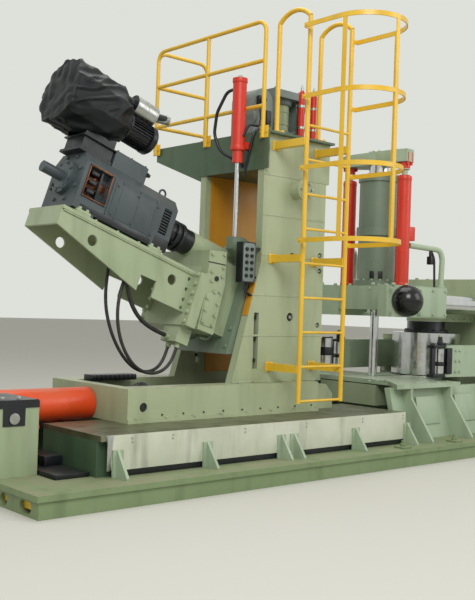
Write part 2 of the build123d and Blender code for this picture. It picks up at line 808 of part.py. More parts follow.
def ladder():
    shape = None
    for x in LADDER_X:
        rail = bar((x, LADDER_Y, LADDER_FOOT_Z), (x, LADDER_Y, LADDER_TOP_Z), RAIL_R)
        shape = rail if shape is None else shape + rail
    count = int((DECK_TOP_Z + 20 - LADDER_FOOT_Z) / RUNG_PITCH) + 1
    for i in range(count):
        z = LADDER_FOOT_Z + 5 + RUNG_R + i * RUNG_PITCH
        shape += bar((LADDER_X[0], LADDER_Y, z), (LADDER_X[1], LADDER_Y, z), RUNG_R)
    return shape


def ladder_ties():
    """Flat brackets from the stand's near plate to the ladder's rails."""
    ties = []
    for z in LADDER_TIE_Z:
        for x in LADDER_X:
            ties.append(block(x - LADDER_TIE_HALF_W, x + LADDER_TIE_HALF_W, LADDER_Y, -PLATE_OUT_Y,
                              z - LADDER_TIE_HALF_H, z + LADDER_TIE_HALF_H))
    return ties


def ladder_returns():
    """Bent tops of the rails, which come down on the deck's edge."""
    shapes = []
    back_y = HANDRAIL_NEAR_Y
    radius = (back_y - LADDER_Y) / 2
    for x in LADDER_X:
        path = ThreePointArc(
            (x, LADDER_Y, LADDER_TOP_Z),
            (x, LADDER_Y + radius, LADDER_TOP_Z + radius * 0.45),
            (x, back_y, LADDER_TOP_Z))
        bend = sweep(Plane(origin=path @ 0, z_dir=path % 0) * Circle(RAIL_R), path=path)
        leg = bar((x, back_y, DECK_TOP_Z), (x, back_y, LADDER_TOP_Z), RAIL_R)
        shapes.append(bend + leg)
    return shapes


def hoop_outline():
    middle_x = sum(LADDER_X) / 2
    round_end = Pos(middle_x, HOOP_MID_Y) * Circle(HOOP_R)
    sides = Pos(middle_x, (HOOP_MID_Y + LADDER_Y) / 2) * Rectangle(2 * HOOP_R, LADDER_Y - HOOP_MID_Y)
    return round_end + sides


def cage():
    outer = hoop_outline()
    band = outer - offset(outer, -HOOP_T)
    middle_x = sum(LADDER_X) / 2
    band -= Pos(middle_x, LADDER_Y) * Rectangle(LADDER_X[1] - LADDER_X[0], 60)
    for x in LADDER_X:
        band -= Pos(x, LADDER_Y) * Circle(RAIL_R)
    shape = None
    for z in HOOP_Z:
        hoop = Pos(0, 0, z - HOOP_BAR / 2) * extrude(band, HOOP_BAR)
        shape = hoop if shape is None else shape + hoop
    low = HOOP_Z[0] - HOOP_BAR / 2
    high = HOOP_Z[-1] + HOOP_BAR / 2
    for turn in (-80, 0, 80):
        at = Pos(middle_x, HOOP_MID_Y, 0) * Rot(0, 0, turn)
        strip = block(-20, 20, -HOOP_R + 1, -HOOP_R + 1 + HOOP_T, low, high)
        shape += at * strip
    return shape


def handrails():
    """Pipe railing along the left edge and the far edge of the top deck."""
    left = STAND_LEFT - FASCIA_T - POST_R
    near_y = HANDRAIL_NEAR_Y
    far_y = WALKWAY_FAR_Y - POST_R
    right = WALKWAY_RIGHT - POST_R
    foot = DECK_TOP_Z - 70
    shape = railing_bow((left, near_y, foot), (left, far_y, foot))
    shape += railing_bow((left, far_y, DECK_TOP_Z), (right, far_y, DECK_TOP_Z))
    middle_y = (near_y + far_y) / 2
    shape += bar((left, middle_y, foot), (left, middle_y, HANDRAIL_TOP_Z), POST_R)
    for z in (HANDRAIL_MID_Z, HANDRAIL_LOW_Z):
        shape += bar((left, near_y, z), (left, far_y, z), POST_R)
        shape += bar((left, far_y, z), (right, far_y, z), POST_R)
    return shape


def railing_bow(foot, other_foot):
    """Pipe from one foot up, along the top and down to the other, bent at both corners."""
    path = FilletPolyline(
        foot, (foot[0], foot[1], HANDRAIL_TOP_Z), (other_foot[0], other_foot[1], HANDRAIL_TOP_Z),
        other_foot, radius=HANDRAIL_BEND_R)
    return sweep(Plane(origin=path @ 0, z_dir=path % 0) * Circle(POST_R), path=path)


nodes["ladder"] = ladder() + ladder_ties() + ladder_returns()
nodes["ladder_cage"] = cage()
nodes["handrails"] = handrails()


# Ring tracer and equipment on the stand

def tracer_arm():
    top = TRACER_ARM_Z + TRACER_ARM_H
    inner = PLATE_OUT_Y - PLATE_T
    half = TRACER_ARM_W / 2
    cross = block(STAND_RIGHT - half, STAND_RIGHT, -inner, inner, TRACER_ARM_Z, top)
    arm = block(STAND_RIGHT, TRACER_X, -half, half, TRACER_ARM_Z, top)
    arm += bar((TRACER_X, 0, TRACER_ARM_Z), (TRACER_X, 0, top), half)
    pin = bar((TRACER_X, 0, TRACER_ARM_Z), (TRACER_X, 0, TRACER_LOW_Z + 60), TRACER_PIN_R)
    return cross + arm + pin


def tracer_roller():
    roller = bar((TRACER_X, 0, TRACER_LOW_Z), (TRACER_X, 0, TRACER_TOP_Z), TRACER_R)
    return roller - bar((TRACER_X, 0, TRACER_LOW_Z - 1), (TRACER_X, 0, TRACER_LOW_Z + 61),
                        TRACER_PIN_R + FIT)


def valve_box():
    """Terminal box held by two tabs beside the near plate's left edge."""
    box = block(VALVE_LEFT, VALVE_RIGHT, -PLATE_OUT_Y, -PLATE_OUT_Y + VALVE_D, VALVE_LOW_Z, VALVE_TOP_Z)
    for z in (VALVE_LOW_Z + 40, VALVE_TOP_Z - 60):
        box += block(VALVE_RIGHT, STAND_LEFT + 20, -PLATE_OUT_Y + 15, -PLATE_OUT_Y + 55, z, z + 20)
    return box - stand_plate()


def accumulators():
    top = DECK_TOP_Z + BOTTLE_H
    return [bar((x, BOTTLE_Y, DECK_TOP_Z), (x, BOTTLE_Y, top), BOTTLE_R) for x in BOTTLE_X]


nodes["tracer_arm"] = tracer_arm()
nodes["tracer_roller"] = tracer_roller()
nodes["valve_box"] = valve_box()
nodes["accumulators"] = accumulators()


# Upper slide with its cone, bracket and motor

def slide_face_at(z):
    """Point of the slide's inclined left face at a height."""
    above = z - axis_point(SLIDE_S0)[1]
    return axis_point(SLIDE_S0, above / math.cos(ANGLE))


def slide_body():
    outline = [
        slide_face_at(SLIDE_TOP_Z),
        slide_face_at(SLIDE_LOW_Z),
        (SLIDE_STEP_X - 100, SLIDE_LOW_Z),
        (SLIDE_STEP_X, SLIDE_STEP_Z),
        (SLIDE_RIGHT, SLIDE_STEP_Z),
        (SLIDE_RIGHT, SLIDE_TOP_Z),
    ]
    body = plate_xz(outline, -SLIDE_HALF_W, SLIDE_HALF_W)
    base_s = CONE_APEX_S - cone_length()
    body -= on_drive(bar((base_s - CONE_NECK, 0, 0), (base_s + 300, 0, 0), CONE_POCKET_R))
    return body


def slide_lug():
    """Lug on the slide that the balance rod's clevis is pinned to."""
    root_x, root_z = slide_face_at(SLIDE_TOP_Z - LUG_ROOT_DROP)
    return plate_xz(
        [(BALANCE_X - LUG_HALF_X, SLIDE_TOP_Z), (BALANCE_X - LUG_HALF_X, CLEVIS_Z),
         (BALANCE_X + LUG_HALF_X, CLEVIS_Z), (LUG_ROOT_X, SLIDE_TOP_Z),
         (LUG_ROOT_X, SLIDE_TOP_Z - CLEAR), (root_x + CLEAR, root_z)],
        -BALANCE_Y - BALANCE_HALF_Y, -BALANCE_Y + BALANCE_HALF_Y)


HOSE_BLOCK_MIDDLE_S = (HOSE_BLOCK_S0 + HOSE_BLOCK_S1) / 2
HOSE_STARTS = (
    (LOOP_HOSE_S, LOOP_HOSE_Y, LOOP_HOSE_R),
    (DROP_HOSE_S, DROP_HOSE_Y, DROP_HOSE_R),
    (BRAID_HOSE_S, BRAID_HOSE_Y, BRAID_HOSE_R),
)


def bracket():
    """Welded motor bracket: two cut-out side plates, a top plate and a flange."""
    top = BRACKET_TOP_N
    under = top - BRACKET_PLATE_T
    side = [
        (BRACKET_S0, under), (BRACKET_S0 - 15, BRACKET_END_N), (975, -BRACKET_DEPTH), (975, -512),
        (1140, -507), (1140, -BRACKET_DEPTH), (BRACKET_S1, -BRACKET_DEPTH), (BRACKET_S1, under),
    ]
    shape = block(BRACKET_S0 - 15, BRACKET_S1, -BRACKET_HALF_W - 15, BRACKET_HALF_W + 15, under, top)
    for y0 in (-BRACKET_HALF_W, BRACKET_HALF_W - BRACKET_SIDE_T):
        plate = plate_xz(side, y0, y0 + BRACKET_SIDE_T)
        for s in BRACKET_HOLE_S:
            plate -= bar((s, y0 - 1, BRACKET_END_N), (s, y0 + BRACKET_SIDE_T + 1, BRACKET_END_N),
                         BRACKET_HOLE_R)
        for n in POCKET_N:
            plate -= bar((BRACKET_S1 - 40, y0 - 1, n), (BRACKET_S1 - 40, y0 + BRACKET_SIDE_T + 1, n),
                         POCKET_R)
        shape += plate
    shape += block(BRACKET_S0 - 15, BRACKET_S0 + 5, -BRACKET_HALF_W, BRACKET_HALF_W, BRACKET_END_N,
                   under)
    shape += block(BRACKET_S1, BRACKET_S1 + FLANGE_T, -FLANGE_HALF_W, FLANGE_HALF_W, FLANGE_FOOT_N, top)
    for s, y, radius in HOSE_STARTS:
        shape += bar((s, y, under), (s, y, under - GLAND_LEN), radius + GLAND_OVER)
    return on_drive(shape)


def cone_housing():
    """Gear housing of the cone's drive, between the bracket's flange and the slide."""
    flange_left = BRACKET_S1 + FLANGE_T
    shape = block(flange_left, flange_left + HOUSING_FLANGE_T, -FLANGE_HALF_W, FLANGE_HALF_W,
                  FLANGE_FOOT_N, HOUSING_FLANGE_TOP_N)
    shape += plate_xz(GEAR_OUTLINE, -FLANGE_HALF_W, FLANGE_HALF_W)
    shape += block(flange_left, SLIDE_S0, -NECK_HALF_W, NECK_HALF_W, NECK_LOW_N, NECK_TOP_N)
    shape += bar((BRACKET_S1, 0, 0), (SLIDE_S0, 0, 0), NOSE_R)
    left = HOSE_BLOCK_S0
    shape += block(left, HOSE_BLOCK_S1, HOSE_BLOCK_NEAR_Y, HOSE_BLOCK_FAR_Y, HOUSING_FOOT_N,
                   FLANGE_FOOT_N)
    shape += bar((left - GLAND_LEN, LOOP_HOSE_Y, LOOP_HOSE_END_N), (left, LOOP_HOSE_Y, LOOP_HOSE_END_N),
                 LOOP_HOSE_R + GLAND_OVER)
    for y, radius in ((DROP_HOSE_Y, DROP_HOSE_R), (BRAID_HOSE_Y, BRAID_HOSE_R)):
        shape += bar((HOSE_BLOCK_MIDDLE_S, y, HOUSING_FOOT_N - GLAND_LEN),
                     (HOSE_BLOCK_MIDDLE_S, y, HOUSING_FOOT_N), radius + GLAND_OVER)
    return on_drive(shape)


def upper_cone():
    base_s = CONE_APEX_S - cone_length()
    at = DRIVE.location * Pos(base_s, 0, 0) * Rot(0, 90, 0)
    neck = on_drive(bar((base_s - CONE_NECK, 0, 0), (base_s, 0, 0), CONE_NECK_R))
    return at * cone_solid() + neck


def motor_body():
    """Motor with sloping shoulders, inspection windows, grilles, feet and both shaft ends."""
    body = plate_yz(
        [(-MOTOR_HALF_W, MOTOR_LOW_N), (MOTOR_HALF_W, MOTOR_LOW_N), (MOTOR_HALF_W, MOTOR_SHOULDER_N),
         (MOTOR_TOP_HALF_W, MOTOR_TOP_N), (-MOTOR_TOP_HALF_W, MOTOR_TOP_N),
         (-MOTOR_HALF_W, MOTOR_SHOULDER_N)], MOTOR_S0, MOTOR_S1)
    for opening, depth in ((MOTOR_WINDOW, MOTOR_WINDOW_DEEP), (MOTOR_GRILLE, MOTOR_GRILLE_DEEP)):
        s0, s1, n0, n1 = opening
        body -= block(s0, s1, -MOTOR_HALF_W - 1, -MOTOR_HALF_W + depth, n0, n1)
        body -= block(s0, s1, MOTOR_HALF_W - depth, MOTOR_HALF_W + 1, n0, n1)
    for s0 in MOTOR_FOOT_S:
        body += block(s0, s0 + MOTOR_FOOT_LEN, -MOTOR_HALF_W, MOTOR_HALF_W, BRACKET_TOP_N, MOTOR_LOW_N)
    body += bar((MOTOR_SHAFT_S0, 0, 0), (MOTOR_S0, 0, 0), MOTOR_SHAFT_R)
    body += bar((MOTOR_S0 - MOTOR_BELL_LEN, 0, 0), (MOTOR_S0, 0, 0), MOTOR_BELL_R)
    body += bar((MOTOR_S1, 0, 0), (BRACKET_S1, 0, 0), COUPLING_R)
    body += block(BOX_S0, BOX_S1, BOX_NEAR_Y, BOX_FAR_Y, MOTOR_TOP_N, BOX_TOP_N)
    return on_drive(body)


def blower():
    """Round fan casing on a duct, with its motor and a silencer at one end."""
    casing = bar((FAN_S0, 0, FAN_N), (FAN_S1, 0, FAN_N), FAN_R)
    duct = block(DUCT_S0, DUCT_S1, DUCT_NEAR_Y, DUCT_FAR_Y, MOTOR_TOP_N, FAN_N - FAN_R / 2)
    rim = block(DUCT_S0 - DUCT_FLANGE, DUCT_S1, DUCT_NEAR_Y - DUCT_FLANGE, DUCT_FAR_Y + DUCT_FLANGE,
                MOTOR_TOP_N, MOTOR_TOP_N + DUCT_FLANGE)
    fan_motor = bar((FAN_S1, FAN_MOTOR_Y, FAN_MOTOR_N), (FAN_MOTOR_S1, FAN_MOTOR_Y, FAN_MOTOR_N),
                    FAN_MOTOR_R)
    neck = bar((FAN_S1, SILENCER_Y, SILENCER_N), (SILENCER_S0, SILENCER_Y, SILENCER_N), SILENCER_NECK_R)
    silencer = bar((SILENCER_S0, SILENCER_Y, SILENCER_N), (SILENCER_S1, SILENCER_Y, SILENCER_N),
                   SILENCER_R)
    tail = bar((SILENCER_S1 - TAIL_PIPE_R, SILENCER_Y, SILENCER_N),
               (TAIL_PIPE_S1, TAIL_PIPE_Y, TAIL_PIPE_N), TAIL_PIPE_R)
    return on_drive(casing + duct + rim + fan_motor + neck + silencer + tail)


def blower_cover():
    """Plastic sheet drawn over the fan casing, open toward its motor."""
    face = Plane.YZ.offset(COVER_S0) * Pos(0, FAN_N) * Polygon(*COVER_OUTLINE, align=None)
    shape = extrude(face, COVER_S1 - COVER_S0, dir=(1, 0, 0))
    shape -= bar((FAN_S0 - FIT, 0, FAN_N), (COVER_S1 + 1, 0, FAN_N), FAN_R + FIT)
    shape -= bar((FAN_S1 - 1, SILENCER_Y, SILENCER_N), (COVER_S1 + 1, SILENCER_Y, SILENCER_N),
                 SILENCER_NECK_R + CLEAR)
    shape -= block(DUCT_S0 - CLEAR, DUCT_S1 + CLEAR, DUCT_NEAR_Y - CLEAR, DUCT_FAR_Y + CLEAR,
                   MOTOR_TOP_N, FAN_N)
    return on_drive(shape)


def hose(route, radius):
    """Hose of straight runs joined by the widest arcs that its corners leave room for."""
    corners = [Vector(*point) for point in route]
    radii = []
    for before, here, after in zip(corners, corners[1:], corners[2:]):
        turn = math.radians((here - before).get_angle(after - here))
        shorter = min((here - before).length, (after - here).length)
        radii.append(0.45 * shorter / math.tan(turn / 2))
    print("hose of radius", radius, "bends at", [round(r) for r in radii])
    path = FilletPolyline(*route, radius=radii)
    return sweep(Plane(origin=path @ 0, z_dir=path % 0) * Circle(radius), path=path)


def gland_mouth(s, n, y):
    x, z = axis_point(s, n)
    return x, y, z


HOSE_TOP_N = BRACKET_TOP_N - BRACKET_PLATE_T - GLAND_LEN
LOOP_HOSE_ROUTE = [
    gland_mouth(LOOP_HOSE_S, HOSE_TOP_N, LOOP_HOSE_Y),
    gland_mouth(LOOP_HOSE_S, HOSE_TOP_N - 120, LOOP_HOSE_Y),
    (-4262, -126, 1540),
    (-4222, -132, 1392),
    (-4130, -128, 1262),
    gland_mouth(HOSE_BLOCK_S0 - GLAND_LEN - 150, LOOP_HOSE_END_N, LOOP_HOSE_Y),
    gland_mouth(HOSE_BLOCK_S0 - GLAND_LEN, LOOP_HOSE_END_N, LOOP_HOSE_Y),
]
DROP_HOSE_ROUTE = [
    gland_mouth(DROP_HOSE_S, HOSE_TOP_N, DROP_HOSE_Y),
    gland_mouth(DROP_HOSE_S, HOSE_TOP_N - 110, DROP_HOSE_Y),
    (-4406, -56, 1614),
    (-4413, -48, 1484),
    (-4404, -44, 1354),
    (-4378, -50, 1227),
    (-4337, -60, 1108),
    (-4280, -68, 1001),
    (-4209, -72, 911),
    (-4122, -70, 843),
    (-4023, -66, 807),
    (-3928, -62, 810),
    (-3848, -60, 851),
    gland_mouth(HOSE_BLOCK_MIDDLE_S, HOUSING_FOOT_N - GLAND_LEN - 85, DROP_HOSE_Y),
    gland_mouth(HOSE_BLOCK_MIDDLE_S, HOUSING_FOOT_N - GLAND_LEN, DROP_HOSE_Y),
]
BRAID_HOSE_ROUTE = [
    gland_mouth(BRAID_HOSE_S, HOSE_TOP_N, BRAID_HOSE_Y),
    gland_mouth(BRAID_HOSE_S, HOSE_TOP_N - 105, BRAID_HOSE_Y),
    (-4311, -176, 1592),
    (-4351, -172, 1478),
    (-4373, -174, 1362),
    (-4377, -180, 1246),
    (-4361, -186, 1138),
    (-4326, -190, 1036),
    (-4273, -192, 946),
    (-4203, -190, 871),
    (-4117, -186, 821),
    (-4022, -182, 801),
    (-3925, -180, 812),
    (-3848, -180, 858),
    gland_mouth(HOSE_BLOCK_MIDDLE_S, HOUSING_FOOT_N - GLAND_LEN - 82, BRAID_HOSE_Y),
    gland_mouth(HOSE_BLOCK_MIDDLE_S, HOUSING_FOOT_N - GLAND_LEN, BRAID_HOSE_Y),
]


nodes["upper_slide"] = slide_body() + slide_lug()
nodes["motor_bracket"] = bracket()
nodes["cone_housing"] = cone_housing()
nodes["upper_cone"] = upper_cone()
nodes["motor"] = motor_body()
nodes["blower"] = blower()
nodes["blower_cover"] = blower_cover()
nodes["loop_hose"] = hose(LOOP_HOSE_ROUTE, LOOP_HOSE_R)
nodes["drop_hose"] = hose(DROP_HOSE_ROUTE, DROP_HOSE_R)
nodes["braided_hose"] = hose(BRAID_HOSE_ROUTE, BRAID_HOSE_R)
nodes["slide_rods"] = [
    bar((PRESS_X, 0, SLIDE_TOP_Z), (PRESS_X, 0, PRESS_TOP_Z - 140), PRESS_ROD_R),
    bar((BALANCE_X, -BALANCE_Y, CLEVIS_Z), (BALANCE_X, -BALANCE_Y, BALANCE_TOP_Z - 60),
        BALANCE_ROD_R),
]


# Table and radial base

def table():
    near = [
        (TABLE_LEFT, -TABLE_HALF_W), (TABLE_RIGHT, -TABLE_HALF_W), (TABLE_RIGHT, -ROLL_R),
        (-200, -ROLL_R), (-200, ROLL_R),
        (TABLE_RIGHT, ROLL_R), (TABLE_RIGHT, TABLE_HALF_W), (TABLE_LEFT, TABLE_HALF_W),
        (TABLE_NOTCH_X, TABLE_NOTCH_Y), (TABLE_NOTCH_X, -TABLE_NOTCH_Y),
    ]
    low = TABLE_TOP_Z - TABLE_T
    plate = plate_xy(near, low, TABLE_TOP_Z)
    plate -= bar((0, 0, low - 1), (0, 0, TABLE_TOP_Z + 1), ROLL_R + 10)
    half = MANDREL_R + 10
    slot = block(MANDREL_X, -ROLL_R, -half, half, low - 1, TABLE_TOP_Z + 1)
    slot += bar((MANDREL_X, 0, low - 1), (MANDREL_X, 0, TABLE_TOP_Z + 1), half)
    return plate - slot


def base_wall():
    """Inclined side wall of the radial base."""
    low = FRAME_H
    high = TABLE_TOP_Z - TABLE_T
    return plate_yz(
        [(-BASE_FOOT_Y, low), (-BASE_TOP_Y, high), (-BASE_TOP_Y + BASE_T, high),
         (-BASE_FOOT_Y + BASE_T, low)],
        TABLE_LEFT + 30, HOUSE_LEFT)


def base_rib(x):
    low = FRAME_H
    high = TABLE_TOP_Z - TABLE_T
    return plate_yz(
        [(-BASE_FOOT_Y, low), (-RIB_FOOT_Y, low), (-RIB_FOOT_Y, low + 20), (-RIB_TOP_Y, high - 90),
         (-RIB_TOP_Y, high), (-BASE_TOP_Y, high)],
        x - RIB_T / 2, x + RIB_T / 2)


RIB_X = [RIB_FIRST_X + i * RIB_PITCH for i in range(3)]
nodes["rolling_table"] = table()
nodes["radial_base_walls"] = [
    piece for shape in (base_wall(), *[base_rib(x) for x in RIB_X]) for piece in both_sides(shape)
]


# Radial housing, main roll and drive

def housing():
    body = plate_xz(
        [(HOUSE_LEFT, FRAME_H), (HOUSE_RIGHT, FRAME_H), (HOUSE_RIGHT, HOUSE_TOP_Z - 300),
         (HOUSE_RIGHT - 200, HOUSE_TOP_Z), (HOUSE_LEFT, HOUSE_TOP_Z)],
        -HOUSE_HALF_W, HOUSE_HALF_W)
    for side in (-1, 1):
        body -= bar((HOUSE_LEFT - 1, side * PULL_Y, PULL_Z), (HOUSE_RIGHT + 1, side * PULL_Y, PULL_Z),
                    PULL_R + FIT)
        body -= bar((HOUSE_LEFT - 1, side * LOW_PULL_Y, LOW_PULL_Z),
                    (HOUSE_RIGHT + 1, side * LOW_PULL_Y, LOW_PULL_Z), LOW_PULL_R + FIT)
    body -= bar((HOUSE_RIGHT - 270, 0, RADIAL_CYL_Z), (HOUSE_RIGHT + 1, 0, RADIAL_CYL_Z),
                RADIAL_ROD_R + CLEAR)
    return body


def roll_arm(z0, z1):
    """Arm that reaches from the housing to a bearing of the main roll."""
    taper = plate_xy(
        [(0, -ROLL_ARM_END_R), (HOUSE_LEFT, -ROLL_ARM_HALF_W), (HOUSE_LEFT, ROLL_ARM_HALF_W),
         (0, ROLL_ARM_END_R)], z0, z1)
    arm = taper + bar((0, 0, z0), (0, 0, z1), ROLL_ARM_END_R)
    return arm - bar((0, 0, z0 - 1), (0, 0, z1 + 1), ROLL_SHAFT_R + FIT)


def lower_roll_arm():
    arm = block(0, HOUSE_LEFT, -LOW_ARM_HALF_W, LOW_ARM_HALF_W, LOW_ARM_Z, LOW_ARM_TOP_Z)
    arm += bar((0, 0, LOW_ARM_Z), (0, 0, LOW_ARM_TOP_Z), LOW_ARM_HALF_W)
    return arm - bar((0, 0, ROLL_SHAFT_FOOT_Z - 1), (0, 0, LOW_ARM_TOP_Z + 1), ROLL_SHAFT_R + FIT)


def main_roll():
    roll = bar((0, 0, ROLL_LOW_Z), (0, 0, ROLL_TOP_Z), ROLL_R)
    roll += bar((0, 0, ROLL_TOP_Z), (0, 0, HUB_TOP_Z), HUB_R)
    roll += bar((0, 0, ROLL_SHAFT_FOOT_Z), (0, 0, ROLL_ARM_TOP_Z), ROLL_SHAFT_R)
    return roll


def main_drive():
    """Gear unit and motor beside the housing, on the far side."""
    gears = block(GEARS_LEFT, GEARS_RIGHT, HOUSE_HALF_W, GEARS_FAR_Y, FRAME_H, GEARS_TOP_Z)
    motor = bar((GEARS_RIGHT, DRIVE_Y, DRIVE_Z), (GEARS_RIGHT + DRIVE_LEN, DRIVE_Y, DRIVE_Z), DRIVE_R)
    feet = block(GEARS_RIGHT + 80, GEARS_RIGHT + DRIVE_LEN - 80, DRIVE_Y - DRIVE_FOOT_HALF_W,
                 DRIVE_Y + DRIVE_FOOT_HALF_W, FRAME_H, DRIVE_Z - DRIVE_R / 2)
    return gears + motor + feet


nodes["radial_housing"] = housing()
nodes["roll_arms"] = [roll_arm(HUB_TOP_Z + 1, ROLL_ARM_TOP_Z), lower_roll_arm()]
nodes["main_roll"] = main_roll()
nodes["main_drive"] = main_drive()


# Mandrel carriage

def head():
    """Cross beam with an end block and a domed stub on each side."""
    beam = block(BEAM_LEFT, BEAM_RIGHT, -HEAD_BLOCK_IN, HEAD_BLOCK_IN, HEAD_LOW_Z + HEAD_BEAM_RISE,
                 HEAD_TOP_Z)
    end = plate_xy(
        [(HEAD_LEFT + 130, -HEAD_HALF_W), (HEAD_RIGHT, -HEAD_HALF_W), (HEAD_RIGHT, -HEAD_BLOCK_IN),
         (BEAM_LEFT, -HEAD_BLOCK_IN), (HEAD_LEFT, -HEAD_HALF_W + 200), (HEAD_LEFT, -HEAD_HALF_W + 90)],
        HEAD_LOW_Z, HEAD_TOP_Z)
    stub = bar((STUB_X, -HEAD_HALF_W - STUB_LEN, STUB_Z), (STUB_X, -HEAD_HALF_W, STUB_Z), STUB_R)
    stub = fillet(stub.faces().sort_by(Axis.Y)[0].edges(), STUB_ROUND)
    shape = beam
    for piece in both_sides(end + stub):
        shape += piece
    return shape - bar((MANDREL_X, 0, HEAD_LOW_Z), (MANDREL_X, 0, HEAD_TOP_Z + 1), SPINDLE_R + 5)


def pull_rods():
    rods = both_sides(bar((HEAD_RIGHT, -PULL_Y, PULL_Z), (REAR_LEFT, -PULL_Y, PULL_Z), PULL_R))
    rods += both_sides(bar((LOW_BLOCK_RIGHT, -LOW_PULL_Y, LOW_PULL_Z),
                           (REAR_LEFT, -LOW_PULL_Y, LOW_PULL_Z), LOW_PULL_R))
    return rods


def lower_head():
    body = block(TABLE_NOTCH_X, LOW_BLOCK_RIGHT, -LOW_BLOCK_HALF_W, LOW_BLOCK_HALF_W,
                 LOW_BLOCK_FOOT_Z, LOW_BLOCK_TOP_Z)
    return body - bar((MANDREL_X, 0, MANDREL_FOOT_Z - 1), (MANDREL_X, 0, LOW_BLOCK_TOP_Z + 1),
                      MANDREL_R + FIT)


def lift_housing():
    tube = bar((MANDREL_X, 0, HEAD_TOP_Z), (MANDREL_X, 0, TUBE_TOP_Z), TUBE_R)
    for low, high, radius in TUBE_COLLARS:
        tube += bar((MANDREL_X, 0, low), (MANDREL_X, 0, high), radius)
    return tube - bar((MANDREL_X, 0, HEAD_TOP_Z - 1), (MANDREL_X, 0, TUBE_TOP_Z + 1), SPINDLE_R + 5)


def lift_cylinder():
    y = -LIFT_CYL_Y
    tube = bar((LIFT_CYL_X, y, HEAD_TOP_Z), (LIFT_CYL_X, y, LIFT_CYL_TOP_Z), LIFT_CYL_R)
    bore = bar((LIFT_CYL_X, y, HEAD_TOP_Z + 60), (LIFT_CYL_X, y, LIFT_CYL_TOP_Z + 1),
               LIFT_ROD_R + FIT)
    return tube - bore


def rear_crosshead():
    return block(REAR_LEFT, REAR_RIGHT, -REAR_HALF_W, REAR_HALF_W, REAR_FOOT_Z, REAR_TOP_Z)


def radial_rod():
    return bar((HOUSE_RIGHT - 250, 0, RADIAL_CYL_Z), (REAR_LEFT, 0, RADIAL_CYL_Z), RADIAL_ROD_R)


def radial_cylinder():
    tube = bar((HOUSE_RIGHT, 0, RADIAL_CYL_Z), (REAR_LEFT - CLEAR, 0, RADIAL_CYL_Z), RADIAL_CYL_R)
    tube += bar((HOUSE_RIGHT, 0, RADIAL_CYL_Z), (HOUSE_RIGHT + 60, 0, RADIAL_CYL_Z), RADIAL_CYL_R + 70)
    return tube - bar((HOUSE_RIGHT - 1, 0, RADIAL_CYL_Z), (REAR_LEFT, 0, RADIAL_CYL_Z),
                      RADIAL_ROD_R + FIT)


nodes["mandrel_head"] = head()
nodes["pull_rods"] = pull_rods()
nodes["lower_mandrel_block"] = lower_head()
nodes["lift_housing"] = lift_housing()
nodes["lift_cylinders"] = both_sides(lift_cylinder())
nodes["rear_crosshead"] = [rear_crosshead(), radial_rod()]
nodes["radial_cylinder"] = radial_cylinder()


# Mandrel lift

def lift_yoke():
    """Waisted plate from the spindle's top to both lift rods."""
    left = MANDREL_X - YOKE_LEFT
    right = MANDREL_X + YOKE_RIGHT
    end_left = LIFT_CYL_X - YOKE_END_HALF_X
    end_right = LIFT_CYL_X + YOKE_END_HALF_X
    return plate_xy(
        [(left, -YOKE_WAIST_Y), (end_left, -YOKE_HALF_W), (end_right, -YOKE_HALF_W),
         (right, -YOKE_WAIST_Y), (right, YOKE_WAIST_Y), (end_right, YOKE_HALF_W),
         (end_left, YOKE_HALF_W), (left, YOKE_WAIST_Y)],
        SPINDLE_TOP_Z, YOKE_TOP_Z)


def lift_rods():
    """Piston rods of the lift cylinders, each in a fork below the yoke."""
    rod = bar((LIFT_CYL_X, -LIFT_CYL_Y, HEAD_TOP_Z + 120), (LIFT_CYL_X, -LIFT_CYL_Y, SPINDLE_TOP_Z),
              LIFT_ROD_R)
    rod += bar((LIFT_CYL_X, -LIFT_CYL_Y, LIFT_FORK_LOW_Z), (LIFT_CYL_X, -LIFT_CYL_Y, SPINDLE_TOP_Z),
               LIFT_FORK_R)
    return both_sides(rod)


def spindle():
    body = bar((MANDREL_X, 0, HEAD_LOW_Z + 40), (MANDREL_X, 0, SPINDLE_TOP_Z), SPINDLE_R)
    return body - bar((MANDREL_X, 0, HEAD_LOW_Z + 39), (MANDREL_X, 0, MANDREL_TOP_Z + FIT),
                      MANDREL_R + 10 + FIT)


def mandrel():
    work = bar((MANDREL_X, 0, MANDREL_FOOT_Z), (MANDREL_X, 0, MANDREL_GRIP_Z), MANDREL_R)
    shank = bar((MANDREL_X, 0, MANDREL_GRIP_Z), (MANDREL_X, 0, MANDREL_TOP_Z), MANDREL_R + 10)
    return work + shank


nodes["lift_yoke"] = lift_yoke() + lift_rods()
nodes["mandrel_spindle"] = spindle()
nodes["mandrel"] = mandrel()


# Centring arms

def arm_lugs():
    """Lugs on the housing and the pin that the near arm turns on."""
    shapes = None
    half = ARM_PIVOT_HALF_W
    low = ARM_LOW_Z - CLEAR - ARM_LUG_T
    high = ARM_TOP_Z + CLEAR + ARM_LUG_T
    for z0 in (low, high - ARM_LUG_T):
        lug = block(ARM_PIVOT_X, HOUSE_LEFT, -ARM_PIVOT_Y - half, -ARM_PIVOT_Y + half, z0,
                    z0 + ARM_LUG_T)
        lug += bar((ARM_PIVOT_X, -ARM_PIVOT_Y, z0), (ARM_PIVOT_X, -ARM_PIVOT_Y, z0 + ARM_LUG_T), half)
        shapes = lug if shapes is None else shapes + lug
    shapes += block(HOUSE_LEFT, HOUSE_LEFT + 60, -ARM_PIVOT_Y - half, -HOUSE_HALF_W, low, high)
    shapes += bar((ARM_PIVOT_X, -ARM_PIVOT_Y, low), (ARM_PIVOT_X, -ARM_PIVOT_Y, high), ARM_PIN_R)
    return shapes


